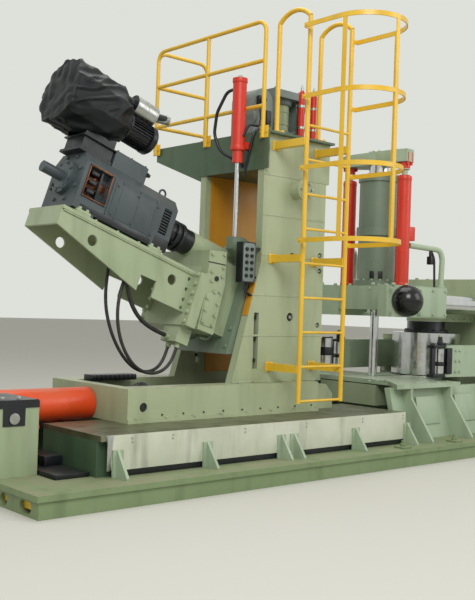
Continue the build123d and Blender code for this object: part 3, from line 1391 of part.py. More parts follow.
def centring_arm():
    """Tapered arm from its pivot to the fork and pin that carry the roller."""
    half = ARM_PIVOT_HALF_W
    outline = [
        (ROLLER_X + 40, -ROLLER_Y - 60), (ARM_PIVOT_X, -ARM_PIVOT_Y - half),
        (ARM_PIVOT_X, -ARM_PIVOT_Y + half), (ROLLER_X + 110, -ROLLER_Y + 85),
        (ROLLER_X + 40, -ROLLER_Y + 60),
    ]
    arm = plate_xy(outline, ARM_LOW_Z, ARM_TOP_Z)
    arm += bar((ARM_PIVOT_X, -ARM_PIVOT_Y, ARM_LOW_Z), (ARM_PIVOT_X, -ARM_PIVOT_Y, ARM_TOP_Z), half)
    arm -= bar((ARM_PIVOT_X, -ARM_PIVOT_Y, ARM_LOW_Z - 1), (ARM_PIVOT_X, -ARM_PIVOT_Y, ARM_TOP_Z + 1),
               ARM_PIN_R + FIT)
    fork_low = ARM_LOW_Z + ROLLER_FORK_T
    fork_high = ARM_TOP_Z - ROLLER_FORK_T
    arm -= bar((ROLLER_X, -ROLLER_Y, fork_low), (ROLLER_X, -ROLLER_Y, fork_high), ROLLER_R + 12)
    pin = bar((ROLLER_X, -ROLLER_Y, ARM_LOW_Z), (ROLLER_X, -ROLLER_Y, ARM_TOP_Z + ROLLER_PIN_OVER),
              ROLLER_PIN_R)
    for z0 in (ARM_LOW_Z, fork_high):
        arm += block(ROLLER_X - 30, ROLLER_X + 60, -ROLLER_Y - 40, -ROLLER_Y + 40, z0,
                     z0 + ROLLER_FORK_T)
    return arm + pin


def centring_roller():
    low = ARM_LOW_Z + ROLLER_FORK_T + CLEAR
    high = ARM_TOP_Z - ROLLER_FORK_T - CLEAR
    roller = bar((ROLLER_X, -ROLLER_Y, low), (ROLLER_X, -ROLLER_Y, high), ROLLER_R)
    return roller - bar((ROLLER_X, -ROLLER_Y, low - 1), (ROLLER_X, -ROLLER_Y, high + 1),
                        ROLLER_PIN_R + FIT)


nodes["arm_lugs"] = both_sides(arm_lugs())
nodes["centring_arm_near"] = centring_arm()
nodes["centring_arm_far"] = far_side(centring_arm())
nodes["centring_roller_near"] = centring_roller()
nodes["centring_roller_far"] = far_side(centring_roller())

os.makedirs("parts", exist_ok=True)
for name, shape in nodes.items():
    solids = shape if isinstance(shape, list) else [shape]
    whole = solids[0] if len(solids) == 1 else Compound(children=solids)
    export_step(whole, f"parts/{name}.step")
print(len(nodes), "nodes written")
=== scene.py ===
import json
import math
from itertools import product
from types import SimpleNamespace

import bmesh
import bpy
from mathutils import Matrix, Vector, noise


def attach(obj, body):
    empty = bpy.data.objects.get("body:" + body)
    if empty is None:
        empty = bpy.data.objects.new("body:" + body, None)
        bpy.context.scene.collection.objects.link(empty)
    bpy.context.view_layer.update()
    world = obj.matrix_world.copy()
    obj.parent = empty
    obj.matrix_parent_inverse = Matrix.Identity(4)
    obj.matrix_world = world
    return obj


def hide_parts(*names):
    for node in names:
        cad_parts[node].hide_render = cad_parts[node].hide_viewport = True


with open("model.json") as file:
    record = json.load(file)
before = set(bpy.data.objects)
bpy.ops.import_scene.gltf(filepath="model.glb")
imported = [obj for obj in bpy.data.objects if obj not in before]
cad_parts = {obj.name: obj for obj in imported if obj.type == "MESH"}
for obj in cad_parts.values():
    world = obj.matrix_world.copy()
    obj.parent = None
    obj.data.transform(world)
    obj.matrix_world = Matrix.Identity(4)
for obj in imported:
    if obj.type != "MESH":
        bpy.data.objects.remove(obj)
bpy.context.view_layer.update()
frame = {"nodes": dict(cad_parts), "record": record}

# A radial-axial ring rolling machine, in metres: X along it, Y to the far side, Z up.

MM = 0.001

# Camera at the photograph's place, solved from its vanishing points
FRAME_PX = (475, 600)
FOCAL_PX = 911
SENSOR_MM = 36
CAMERA_AT = Vector((-8.585, -6.320, 1.370))
CAMERA_TURN = math.radians(41.89)
CAMERA_TILT = math.radians(0.53)
CAMERA_ROLL = math.radians(1.99)

# The upper drive's inclined axis: s runs down along it, n stands square to it
INCLINE = math.radians(18.7)
AXIS_AT = Vector((-4.967, 0, 2.417))
ALONG = Vector((math.cos(INCLINE), 0, -math.sin(INCLINE)))
SQUARE = Vector((math.sin(INCLINE), 0, math.cos(INCLINE)))
ACROSS = Vector((0, 1, 0))


def on_drive(s, y, n):
    """Point in metres from millimetres along, across and square to the drive's axis."""
    return AXIS_AT + (ALONG * s + ACROSS * y + SQUARE * n) * MM


# Colours

def hex_colour(text):
    """Linear RGBA of an sRGB hex value."""
    channels = [int(text[i:i + 2], 16) / 255 for i in (1, 3, 5)]
    linear = [c / 12.92 if c <= 0.04045 else ((c + 0.055) / 1.055) ** 2.4 for c in channels]
    return (*linear, 1.0)


# Materials

# Sizes of the marks on paint, in millimetres
FADED_MM = 700       # clouds where the coat has faded
GLOSS_MM = 220       # duller and shinier areas
DUST_MM = 260
RUN_MM = 160         # runs of oil, drawn out along the height
CHIP_MM = 45
EDGE_MM = 7          # how far from an edge the paint chips off
PEEL_MM = 30         # orange peel, drawn coarser than it is so that it shows

# Sizes of the marks on steel, in millimetres
STAIN_MM = 180       # old oil
LAY_MM = 40          # tool marks, drawn coarser than they are so that they show
WAVE_MM = 60         # unevenness of turned and ground faces
ZINC_MM = 300        # paler clouds of the zinc coat on sheet
STREAK_MM = 90
BUCKLE_MM = 240      # slight buckles of the sheet itself

# Sizes of the marks on film and rubber, in millimetres
FILM_DUST_MM = 60
WRINKLE_MM = 130
GREASE_MM = 40
RUBBER_MM = 6


def add_node(tree, kind, inputs=None, **settings):
    """A node with its settings made and its inputs set or linked."""
    node = tree.nodes.new(kind)
    for name, value in settings.items():
        setattr(node, name, value)
    for name, value in (inputs or {}).items():
        if isinstance(value, bpy.types.NodeSocket):
            tree.links.new(value, node.inputs[name])
        else:
            node.inputs[name].default_value = value
    return node


def new_finish(name):
    """An empty material and its tree, with the shader that feeds its surface."""
    material = bpy.data.materials.new(name)
    material.use_nodes = True
    tree = material.node_tree
    tree.nodes.clear()
    shader = add_node(tree, "ShaderNodeBsdfPrincipled")
    add_node(tree, "ShaderNodeOutputMaterial", {"Surface": shader.outputs["BSDF"]})
    return material, tree, shader


def cloud(tree, size_mm, stretch, detail):
    """Noise in patches of about size_mm, drawn out on the axes where stretch is below 1."""
    place = add_node(tree, "ShaderNodeTexCoord").outputs["Object"]
    scaled = add_node(tree, "ShaderNodeMapping", {"Vector": place, "Scale": stretch})
    return add_node(tree, "ShaderNodeTexNoise", {
        "Vector": scaled.outputs["Vector"], "Scale": 1 / (size_mm * MM), "Detail": detail}).outputs["Fac"]


def patches(tree, size_mm, low, high, stretch=(1, 1, 1)):
    """Cloudy pattern that goes from 0 to 1 where the noise passes from low to high."""
    return add_node(tree, "ShaderNodeMapRange", {
        "Value": cloud(tree, size_mm, stretch, 4), "From Min": low, "From Max": high}).outputs["Result"]


def times(tree, first, second):
    """Product of two patterns, or of a pattern and a share."""
    return add_node(tree, "ShaderNodeMath", {0: first, 1: second}, operation="MULTIPLY").outputs[0]


def mix_colour(tree, share, base, over):
    """Base colour, covered by another where share is 1; the node's colour sockets go by number."""
    return add_node(tree, "ShaderNodeMix", {0: share, 6: base, 7: over}, data_type="RGBA").outputs[2]


def edge_share(tree, radius_mm):
    """1 on an edge of the form, 0 on its flat faces."""
    bevel = add_node(tree, "ShaderNodeBevel", {"Radius": radius_mm * MM}, samples=4)
    face = add_node(tree, "ShaderNodeNewGeometry").outputs["Normal"]
    agree = add_node(tree, "ShaderNodeVectorMath", {0: bevel.outputs["Normal"], 1: face},
                     operation="DOT_PRODUCT").outputs["Value"]
    return add_node(tree, "ShaderNodeMapRange", {
        "Value": agree, "From Min": 0.995, "From Max": 0.86}).outputs["Result"]


def facing_up(tree):
    """1 on faces that look up, where dust settles."""
    face = add_node(tree, "ShaderNodeNewGeometry").outputs["Normal"]
    height = add_node(tree, "ShaderNodeSeparateXYZ", {"Vector": face}).outputs["Z"]
    return add_node(tree, "ShaderNodeMapRange", {
        "Value": height, "From Min": 0.3, "From Max": 0.9}).outputs["Result"]


def ripple(tree, shader, size_mm, height_mm, stretch=(1, 1, 1)):
    """Bump of the surface's own unevenness."""
    bump = add_node(tree, "ShaderNodeBump", {
        "Height": cloud(tree, size_mm, stretch, 3), "Distance": height_mm * MM, "Strength": 0.6})
    tree.links.new(bump.outputs["Normal"], shader.inputs["Normal"])


def vary_gloss(tree, shader, marks, least, most):
    """Roughness that runs between two values with a pattern of marks."""
    gloss = add_node(tree, "ShaderNodeMapRange", {"Value": marks, "To Min": least, "To Max": most})
    tree.links.new(gloss.outputs["Result"], shader.inputs["Roughness"])


def sprayed_enamel(name, coat, faded, grime, bare, dust, roughness=0.42, dirty=0.35, dusty=0.5,
                   worn=0.6):
    """Air-dried machine enamel: even coat, clouds where it has faded, oily runs, chips on edges."""
    material, tree, shader = new_finish(name)
    colour = mix_colour(tree, patches(tree, FADED_MM, 0.35, 0.7), hex_colour(coat), hex_colour(faded))
    runs = times(tree, patches(tree, RUN_MM, 0.5, 0.78, stretch=(1, 1, 0.16)), dirty)
    colour = mix_colour(tree, runs, colour, hex_colour(grime))
    settled = times(tree, times(tree, facing_up(tree), patches(tree, DUST_MM, 0.3, 0.6)), dusty)
    colour = mix_colour(tree, settled, colour, hex_colour(dust))
    chips = times(tree, times(tree, edge_share(tree, EDGE_MM), patches(tree, CHIP_MM, 0.48, 0.62)), worn)
    colour = mix_colour(tree, chips, colour, hex_colour(bare))
    tree.links.new(colour, shader.inputs["Base Color"])
    vary_gloss(tree, shader, patches(tree, GLOSS_MM, 0.3, 0.7), roughness - 0.08, roughness + 0.12)
    ripple(tree, shader, PEEL_MM, 0.8)
    return material


def pale_green_enamel():
    """The machine's main coat: pale green alkyd enamel, satin, a little yellowed."""
    return sprayed_enamel("pale_green_enamel", "#97A683", "#A2AE8E", "#5F6849", "#56584C", "#A9A68A")


def stand_enamel():
    """The stand's and carriage's coat: the same green, paler and more yellowed."""
    return sprayed_enamel("stand_enamel", "#A1AC89", "#AAB493", "#6A7050", "#56584C", "#AFAC92")


def cool_green_enamel():
    """Fresher, cooler green on the gussets and the radial side: table, walls, arms, mandrel head."""
    return sprayed_enamel("cool_green_enamel", "#9DAF93", "#A8B89E", "#66725A", "#56584C", "#AEB09C")


def gloss_black():
    """Thick black gloss on the stub caps, with clear highlights."""
    return sprayed_enamel("gloss_black", "#0B0B0C", "#121213", "#060606", "#3A3A3A", "#2A2A28",
                          roughness=0.16, dirty=0.1, dusty=0.1)


def foundation_enamel():
    """The same green on the foundation, walked on and dusty, with oil along its foot."""
    return sprayed_enamel("foundation_enamel", "#74875E", "#7F9169", "#4A5336", "#55564A", "#888A6C",
                          roughness=0.6, dirty=0.5, dusty=0.85)


def deep_green_enamel():
    """Darker green gloss enamel on the bed's beams and the top of the stand."""
    return sprayed_enamel("deep_green_enamel", "#445B43", "#4E654C", "#263126", "#4A4C44", "#7C8467",
                          roughness=0.36)


def slide_enamel():
    """Green on the upper slide and the lift's tube, greyed by a film of oil."""
    return sprayed_enamel("slide_enamel", "#6C7C69", "#788874", "#3A4438", "#50524A", "#858A70",
                          roughness=0.33)


def orange_enamel():
    """Orange-red gloss enamel on the feed cylinder, rolled on thick."""
    return sprayed_enamel("orange_enamel", "#E04716", "#E65626", "#8A2C10", "#7A4A38", "#A8795A",
                          roughness=0.33, dusty=0.3)


def red_enamel():
    """Bright red enamel on the upright cylinders and the bottles, bleached a little pink."""
    return sprayed_enamel("red_enamel", "#CC2713", "#D43C28", "#86261A", "#82493C", "#B07A68",
                          roughness=0.33, dusty=0.2)


def yellow_enamel():
    """Safety yellow gloss enamel on the rails, the ladder and its cage, a little chipped."""
    return sprayed_enamel("yellow_enamel", "#E3B52C", "#EAC142", "#8E6A1C", "#6A5A38", "#B7A468",
                          roughness=0.3, dirty=0.25, dusty=0.2, worn=0.4)


def guide_enamel():
    """Ochre paint and grease on the inner faces where the slide runs."""
    return sprayed_enamel("guide_enamel", "#C8891B", "#D5982A", "#7E5212", "#7E6034", "#A98440",
                          roughness=0.35, dirty=0.6)


def motor_enamel():
    """Blue-grey enamel on the frames of the motors and on the gear unit."""
    return sprayed_enamel("motor_enamel", "#3C4649", "#475154", "#1F2425", "#62686A", "#62665F",
                          roughness=0.4)


def tank_enamel():
    """Mid grey enamel on the press cylinder and the oil tank."""
    return sprayed_enamel("tank_enamel", "#6E7C78", "#7C8985", "#3A4442", "#5A5E5B", "#8A8D80")


def black_enamel():
    """Black enamel on the fan and its motor, the bearings and the small boxes."""
    return sprayed_enamel("black_enamel", "#0F1216", "#181C21", "#08090B", "#45484A", "#40413D",
                          roughness=0.35, dusty=0.35)


def machined_steel(name, metal, stain, roughness, stain_share, lay):
    """Bare steel with oily stains; lay is how closely its tool marks follow each other on each axis."""
    material, tree, shader = new_finish(name)
    stains = times(tree, patches(tree, STAIN_MM, 0.45, 0.7), stain_share)
    colour = mix_colour(tree, stains, hex_colour(metal), hex_colour(stain))
    tree.links.new(colour, shader.inputs["Base Color"])
    shader.inputs["Metallic"].default_value = 1.0
    vary_gloss(tree, shader, patches(tree, LAY_MM, 0.3, 0.7, stretch=lay), roughness - 0.06,
               roughness + 0.1)
    ripple(tree, shader, WAVE_MM, 0.12, stretch=lay)
    return material


def hard_chrome():
    """Hard chrome on ground rods, and the polished rolls and mandrel: nearly a mirror."""
    return machined_steel("hard_chrome", "#DADCDD", "#A4A6A6", 0.14, 0.2, (1, 1, 1))


def roll_steel():
    """Hot-work tool steel of the cones: turned bright, then browned and scaled by heat."""
    return machined_steel("roll_steel", "#C4C5C5", "#77706A", 0.24, 0.45, (0.5, 0.5, 1))


def way_steel():
    """Ground guideway steel under a brown-green film of old oil."""
    return machined_steel("way_steel", "#8F917A", "#5C5947", 0.42, 0.7, (0.1, 2, 2))


def commutator_copper():
    """Copper bars of the commutator, browned by the brushes, with a mark every 7 mm or so."""
    return machined_steel("commutator_copper", "#6E4733", "#33201A", 0.3, 0.7, (0.1, 1, 6))


def zinc_plated_steel():
    """Zinc-plated steel on screws, plugs and bands, gone dull."""
    return machined_steel("zinc_plated_steel", "#B4B6B2", "#7C7C74", 0.32, 0.5, (1, 1, 1))


def guard_sheet():
    """Zinc-coated guard sheet: pale, matt, streaked by handling."""
    material, tree, shader = new_finish("guard_sheet")
    pale = patches(tree, ZINC_MM, 0.35, 0.65)
    colour = mix_colour(tree, pale, hex_colour("#C6CAB6"), hex_colour("#D6D9C8"))
    streaks = times(tree, patches(tree, STREAK_MM, 0.5, 0.75, stretch=(1, 1, 0.12)), 0.5)
    colour = mix_colour(tree, streaks, colour, hex_colour("#7E8274"))
    tree.links.new(colour, shader.inputs["Base Color"])
    shader.inputs["Metallic"].default_value = 0.35
    shader.inputs["Roughness"].default_value = 0.45
    ripple(tree, shader, BUCKLE_MM, 3.0, stretch=(1, 1, 0.5))
    return material


def polyethylene_sheet():
    """Black polyethylene film round the fan: soft gloss that catches along its folds."""
    material, tree, shader = new_finish("polyethylene_sheet")
    dust = times(tree, times(tree, facing_up(tree), patches(tree, FILM_DUST_MM, 0.4, 0.7)), 0.25)
    colour = mix_colour(tree, dust, hex_colour("#0C1315"), hex_colour("#28312F"))
    tree.links.new(colour, shader.inputs["Base Color"])
    shader.inputs["Roughness"].default_value = 0.45
    shader.inputs["IOR"].default_value = 1.51
    shader.inputs["Specular IOR Level"].default_value = 0.3
    ripple(tree, shader, WRINKLE_MM, 4.0)
    return material


def hose_rubber():
    """Smooth nitrile rubber cover of a hydraulic hose: black, slightly greasy."""
    material, tree, shader = new_finish("hose_rubber")
    grease = times(tree, patches(tree, GREASE_MM, 0.45, 0.7), 0.35)
    colour = mix_colour(tree, grease, hex_colour("#1B1C1B"), hex_colour("#4B463B"))
    tree.links.new(colour, shader.inputs["Base Color"])
    shader.inputs["Roughness"].default_value = 0.5
    shader.inputs["IOR"].default_value = 1.52
    ripple(tree, shader, RUBBER_MM, 0.4)
    return material


FINISHES = {
    "machine_green": pale_green_enamel(),
    "foundation_green": foundation_enamel(),
    "stand_green": stand_enamel(),
    "cool_green": cool_green_enamel(),
    "gloss_black": gloss_black(),
    "deep_green": deep_green_enamel(),
    "way_steel": way_steel(),
    "guard_steel": guard_sheet(),
    "cylinder_orange": orange_enamel(),
    "lift_red": red_enamel(),
    "safety_yellow": yellow_enamel(),
    "guide_yellow": guide_enamel(),
    "chrome_steel": hard_chrome(),
    "roll_steel": roll_steel(),
    "motor_grey": motor_enamel(),
    "fan_black": black_enamel(),
    "cover_black": polyethylene_sheet(),
    "hose_black": hose_rubber(),
    "tank_grey": tank_enamel(),
    "slide_enamel": slide_enamel(),
    "copper": commutator_copper(),
    "zinc_steel": zinc_plated_steel(),
}
FINISHES["box_black"] = FINISHES["fan_black"]


# Drawing of pieces, in millimetres

MACHINE = Matrix.Scale(MM, 4)
DRIVE = (Matrix.Translation(AXIS_AT) @ Matrix((ALONG, ACROSS, SQUARE)).transposed().to_4x4()
         @ Matrix.Scale(MM, 4))
SHARP = math.radians(32)     # an edge that turns by more stays sharp

# Directions on the machine's axes, or in the same words along s, y and n of the drive
UP = (0, 0, 1)
LEFT = (-1, 0, 0)
RIGHT = (1, 0, 0)
NEAR = (0, -1, 0)
FAR = (0, 1, 0)
SIDES = (-1, 1)              # near and far of the middle plane

# A bolt's sizes, as shares of its width across the flats
WASHER_R = 0.62
WASHER_T = 0.14
HEAD_SEAT = 0.12
HEAD_T = 0.5
HEAD_R = 0.57
HEAD_TOP_R = 0.5


def grid(*axes):
    """Every place whose three coordinates come from numbers or lists of numbers."""
    return product(*[axis if hasattr(axis, "__iter__") else (axis,) for axis in axes])


def ring_of(count, radius, start=0.0):
    """Offsets from the middle of places on a circle."""
    turns = [start + i * math.tau / count for i in range(count)]
    return [(radius * math.cos(turn), radius * math.sin(turn)) for turn in turns]


def reach_of(node, axes=MACHINE):
    """A CAD node's box in millimetres on the machine's axes or the drive's, to a tenth."""
    into = axes.inverted()
    places = [into @ vertex.co for vertex in frame["nodes"][node].data.vertices]
    low, high = ([round(end(place[i] for place in places), 1) for i in range(3)] for end in (min, max))
    return SimpleNamespace(left=low[0], right=high[0], near=low[1], far=high[1], foot=low[2],
                           top=high[2], middle=(low[0] + high[0]) / 2)


def rounded_path(corners, bend):
    """Points along the runs between corners, with an arc of up to the bend radius at each."""
    path = [corners[0]]
    for before, here, after in zip(corners, corners[1:], corners[2:]):
        back, on = before - here, after - here
        turn = math.pi - back.angle(on)
        if turn < 0.02:
            path.append(here)
            continue
        reach = min(bend * math.tan(turn / 2), back.length * 0.49, on.length * 0.49)
        first = here + back.normalized() * reach
        last = here + on.normalized() * reach
        steps = max(3, int(math.degrees(turn) / 12))
        for i in range(steps + 1):
            share = i / steps
            path.append(first.lerp(here, share).lerp(here.lerp(last, share), share))
    path.append(corners[-1])
    return path


class Drawing:
    """Mesh of one piece, drawn in millimetres in the machine's frame or the drive's."""

    def __init__(self, axes=MACHINE):
        self.mesh = bmesh.new()
        self.axes = axes

    def solid(self, rings, round_off=0, closed=True):
        """Skin over rings of points; a closed one has both its ends filled."""
        made = [[self.mesh.verts.new(self.axes @ Vector(point)) for point in ring] for ring in rings]
        faces = []
        for ring, after in zip(made, made[1:]):
            for i in range(len(ring) if closed else len(ring) - 1):
                j = (i + 1) % len(ring)
                faces.append(self.mesh.faces.new((ring[i], ring[j], after[j], after[i])))
        if closed:
            faces.append(self.mesh.faces.new(list(reversed(made[0]))))
            faces.append(self.mesh.faces.new(made[-1]))
        bmesh.ops.recalc_face_normals(self.mesh, faces=faces)
        if round_off:
            edges = {edge for face in faces for edge in face.edges
                     if edge.calc_face_angle(0) > SHARP}
            bmesh.ops.bevel(self.mesh, geom=list(edges), offset=round_off * MM, segments=2,
                            profile=0.6, affect="EDGES", clamp_overlap=True)

    def block(self, x0, x1, y0, y1, z0, z1, round_off=3):
        """Box between two values on each axis."""
        ring = [(x0, y0), (x1, y0), (x1, y1), (x0, y1)]
        self.solid([[(x, y, z) for x, y in ring] for z in (z0, z1)], round_off)

    def plate(self, outline, axis, level, after, round_off=2):
        """Plate whose outline lies square to axis 0, 1 or 2, between two levels on that axis."""
        self.solid([[point[:axis] + (at,) + point[axis:] for point in outline]
                    for at in (level, after)], round_off)

    def hoop(self, middle, turn, radius, sides):
        """Points on a circle round a middle, square to the turned Z axis."""
        return [middle + turn @ Vector((a, b, 0)) for a, b in ring_of(sides, radius)]

    def rod(self, start, end, radii, sides=24, round_off=0):
        """Round piece between two points; radii are (share of the way, radius) pairs or one radius."""
        start = Vector(start)
        along = Vector(end) - start
        turn = along.to_track_quat("Z", "Y")
        profile = [(0, radii), (1, radii)] if isinstance(radii, (int, float)) else radii
        self.solid([self.hoop(start + along * share, turn, radius, sides) for share, radius in profile],
                   round_off)

    def post(self, x, y, foot, top, radii, sides=24, round_off=0):
        """Round piece that stands upright between two heights."""
        self.rod((x, y, foot), (x, y, top), radii, sides, round_off)

    def pipe(self, points, radius, bend=60, sides=14):
        """Bent pipe through corner points, each corner rounded to a bend radius."""
        path = rounded_path([Vector(point) for point in points], bend)
        rings = []
        before = turn = None
        for here, after in zip(path, path[1:] + [None]):
            heading = (after - here).normalized() if after else before
            if turn is None:
                turn = heading.to_track_quat("Z", "Y")
            else:
                turn = before.rotation_difference(heading) @ turn
            before = heading
            rings.append(self.hoop(here, turn, radius, sides))
        self.solid(rings)

    def bolts(self, places, facing, size=24, washer=True):
        """Hexagon heads of a width across the flats, on washers, that stand out along facing."""
        facing = Vector(facing)
        for place in places:
            place = Vector(place)
            if washer:
                self.rod(place, place + facing * size * WASHER_T, size * WASHER_R, 20)
            seat = place + facing * size * HEAD_SEAT
            self.rod(seat, seat + facing * size * HEAD_T,
                     [(0, size * HEAD_R), (0.8, size * HEAD_R), (1, size * HEAD_TOP_R)], 6)

    def bolt_ring(self, middle, facing, count, radius, size, start=0.0):
        """Bolts set evenly on a circle round a middle, square to facing."""
        axis = [abs(part) for part in facing].index(1)
        places = []
        for offset in ring_of(count, radius, start):
            places.append(Vector(middle) + Vector(offset[:axis] + (0,) + offset[axis:]))
        self.bolts(places, facing, size)

    def cover(self, x0, x1, skin, out, z0, z1, inset, size, across=3, down=2, round_off=4):
        """Plate on a flank, with rows of bolts set in from its edges along x and z."""
        self.block(x0, x1, skin, out, z0, z1, round_off)
        xs = [x0 + inset[0] + (x1 - x0 - 2 * inset[0]) * i / (across - 1) for i in range(across)]
        zs = [z0 + inset[1] + (z1 - z0 - 2 * inset[1]) * i / (down - 1) for i in range(down)]
        self.bolts(grid(xs, out, zs), (0, math.copysign(1, out), 0), size)

    def fins(self, middle, left, right, count, foot_r, tip_r, half_t, tip_share):
        """Cooling fins round a motor's middle, from left to right, thinner at their tips."""
        y, z = middle
        for a, b in ring_of(count, 1):
            self.solid([[(x, y + a * r - b * half_t * k, z + b * r + a * half_t * k)
                         for r, k in ((foot_r, 1), (tip_r, tip_share), (tip_r, -tip_share), (foot_r, -1))]
                        for x in (left, right)])

    def eye(self, place, facing, ring_r=32, bar_r=9):
        """Forged lifting eye on its collar."""
        place, facing = Vector(place), Vector(facing)
        self.rod(place, place + facing * 12, ring_r * 0.8, 20)
        middle = place + facing * (ring_r + 8)
        side = facing.cross(Vector(FAR))
        turns = [math.tau * i / 20 - 1.57 for i in range(21)]
        self.pipe([middle + side * ring_r * math.cos(turn) + facing * ring_r * math.sin(turn)
                   for turn in turns], bar_r, bend=4, sides=10)

    def finish(self, name, body, slot, finish=None):
        """Makes the piece, with soft shading between its sharp edges, and puts it on its body."""
        for face in self.mesh.faces:
            face.smooth = True
        for edge in self.mesh.edges:
            edge.smooth = edge.calc_face_angle(0) < SHARP
        mesh = bpy.data.meshes.new(name)
        self.mesh.to_mesh(mesh)
        self.mesh.free()
        mesh.materials.append(FINISHES[finish or slot])
        piece = bpy.data.objects.new(name, mesh)
        bpy.context.scene.collection.objects.link(piece)
        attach(piece, body)
        return piece


# CAD nodes whose coat differs from the other pieces of their record colour
OWN_FINISHES = {
    "foundation_side_beams": "foundation_green",
    "foundation_cross_beams": "foundation_green",
    "bed_gussets": "cool_green",
    "axial_carriage": "stand_green",
    "stand_plate_near": "stand_green",
    "stand_plate_far": "stand_green",
    "upper_slide": "slide_enamel",
    "lift_housing": "slide_enamel",
    "mandrel": "chrome_steel",
    "mandrel_head": "cool_green",
    "lift_yoke": "cool_green",
    "rolling_table": "cool_green",
    "radial_base_walls": "cool_green",
    "centring_arm_near": "cool_green",
    "centring_arm_far": "cool_green",
}


def dress_cad_nodes():
    """Gives each CAD node the finish of its record slot, or its own."""
    slots = {part["node"]: part["material_slot"] for part in frame["record"]["subparts"]}
    for name, piece in frame["nodes"].items():
        piece.data.materials.clear()
        piece.data.materials.append(FINISHES[OWN_FINISHES.get(name, slots[name])])


dress_cad_nodes()


# Hydraulic hoses under the motor bracket

HOSE_ROUTES = {
    "loop_hose": (0.036, "stiff", 0.90, [
        on_drive(890, -120, -349), on_drive(890, -120, -469), (-4.262, -0.126, 1.540),
        (-4.222, -0.132, 1.392), (-4.130, -0.128, 1.262), on_drive(1330, -120, -865),
        on_drive(1480, -120, -865)]),
    "drop_hose": (0.028, "medium", 1.57, [
        on_drive(762, -60, -349), on_drive(762, -60, -459), (-4.406, -0.056, 1.614),
        (-4.413, -0.048, 1.484), (-4.404, -0.044, 1.354), (-4.378, -0.050, 1.227),
        (-4.337, -0.060, 1.108), (-4.280, -0.068, 1.001), (-4.209, -0.072, 0.911),
        (-4.122, -0.070, 0.843), (-4.023, -0.066, 0.807), (-3.928, -0.062, 0.810),
        (-3.848, -0.060, 0.851), on_drive(1590, -60, -1025), on_drive(1590, -60, -940)]),
    "braided_hose": (0.028, "medium", 1.56, [
        on_drive(874, -180, -349), on_drive(874, -180, -454), (-4.311, -0.176, 1.592),
        (-4.351, -0.172, 1.478), (-4.373, -0.174, 1.362), (-4.377, -0.180, 1.246),
        (-4.361, -0.186, 1.138), (-4.326, -0.190, 1.036), (-4.273, -0.192, 0.946),
        (-4.203, -0.190, 0.871), (-4.117, -0.186, 0.821), (-4.022, -0.182, 0.801),
        (-3.925, -0.180, 0.812), (-3.848, -0.180, 0.858), on_drive(1590, -180, -1022),
        on_drive(1590, -180, -940)]),
}


def hang_hose(node, diameter, route):
    """One smooth hose from a gland under the bracket down and back up to its other gland."""
    curve = bpy.data.curves.new(node + "_line", "CURVE")
    curve.dimensions = "3D"
    curve.bevel_depth = diameter / 2
    curve.bevel_resolution = 5
    curve.resolution_u = 16
    curve.use_fill_caps = True
    spline = curve.splines.new("NURBS")
    spline.points.add(len(route) - 1)
    for control, place in zip(spline.points, route):
        control.co = (*place, 1)
    spline.order_u = 3
    spline.use_endpoint_u = True
    curve.materials.append(FINISHES["hose_black"])
    piece = bpy.data.objects.new(node + "_rubber", curve)
    bpy.context.scene.collection.objects.link(piece)
    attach(piece, "slide")
    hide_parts(node)


for node, (diameter, stiffness, length, route) in HOSE_ROUTES.items():
    hang_hose(node, diameter, route)


# Film drawn over the fan casing

# The film's outline round the fan's axis, in y and n
COVER_OUTLINE = ((-276, -92), (-225, -205), (-70, -282), (130, -262), (262, -130),
                 (286, 40), (215, 206), (40, 288), (-150, 262), (-262, 110))
FAN_N = 630                  # the fan's axis over the drive's
CASING_R = 236               # the film stays clear of the casing under it
FILM_S = (-112, 350)         # the stretch that lies on the casing
FILM_ENDS = (0.22, 0.8)      # shares of the film's length where that stretch starts and stops
FILM_GAP = (-0.58, 0.42)     # radians either side of straight down, where the duct passes
GAP_STARTS = 0.44            # share of the length where the gap begins to open
OUTLINE_R = 280              # the outline's usual reach, for a ray that slips between two sides
WINDING = 0.0022             # radians by which the folds wind round for each millimetre
FOLD_MM = 15                 # height of the sharp folds
PLEAT_MM = 10                # height of the soft pleats between them
FLUTTER_MM = 14              # how far the loose edges of the gap lift
CRUMPLE_MM = 26              # depth of the creases where the film is gathered
COLUMNS, ROWS = 150, 74


def outline_reach(angle):
    """How far the film's outline reaches from the fan's axis; angle runs from straight down."""
    toward = Vector((math.sin(angle), -math.cos(angle)))
    for (y0, n0), (y1, n1) in zip(COVER_OUTLINE, COVER_OUTLINE[1:] + COVER_OUTLINE[:1]):
        run = Vector((y1 - y0, n1 - n0))
        cross = toward.x * run.y - toward.y * run.x
        if abs(cross) < 1e-9:
            continue
        reach = (y0 * run.y - n0 * run.x) / cross
        share = (y0 * toward.y - n0 * toward.x) / cross
        if reach > 0 and 0 <= share <= 1:
            return reach
    return OUTLINE_R


def film_place(v):
    """Where a share of the film's length lies along the drive, and how wide the film is there."""
    gathered, tucked = FILM_ENDS
    left, right = FILM_S
    if v < gathered:
        share = v / gathered
        return left - 10 * (1 - share), 0.012 + 0.968 * share
    if v < tucked:
        return left + (right - left) * (v - gathered) / (tucked - gathered), 0.98
    share = (v - tucked) / (1 - tucked)
    return right + 118 * share, 0.98 - 0.2 * share


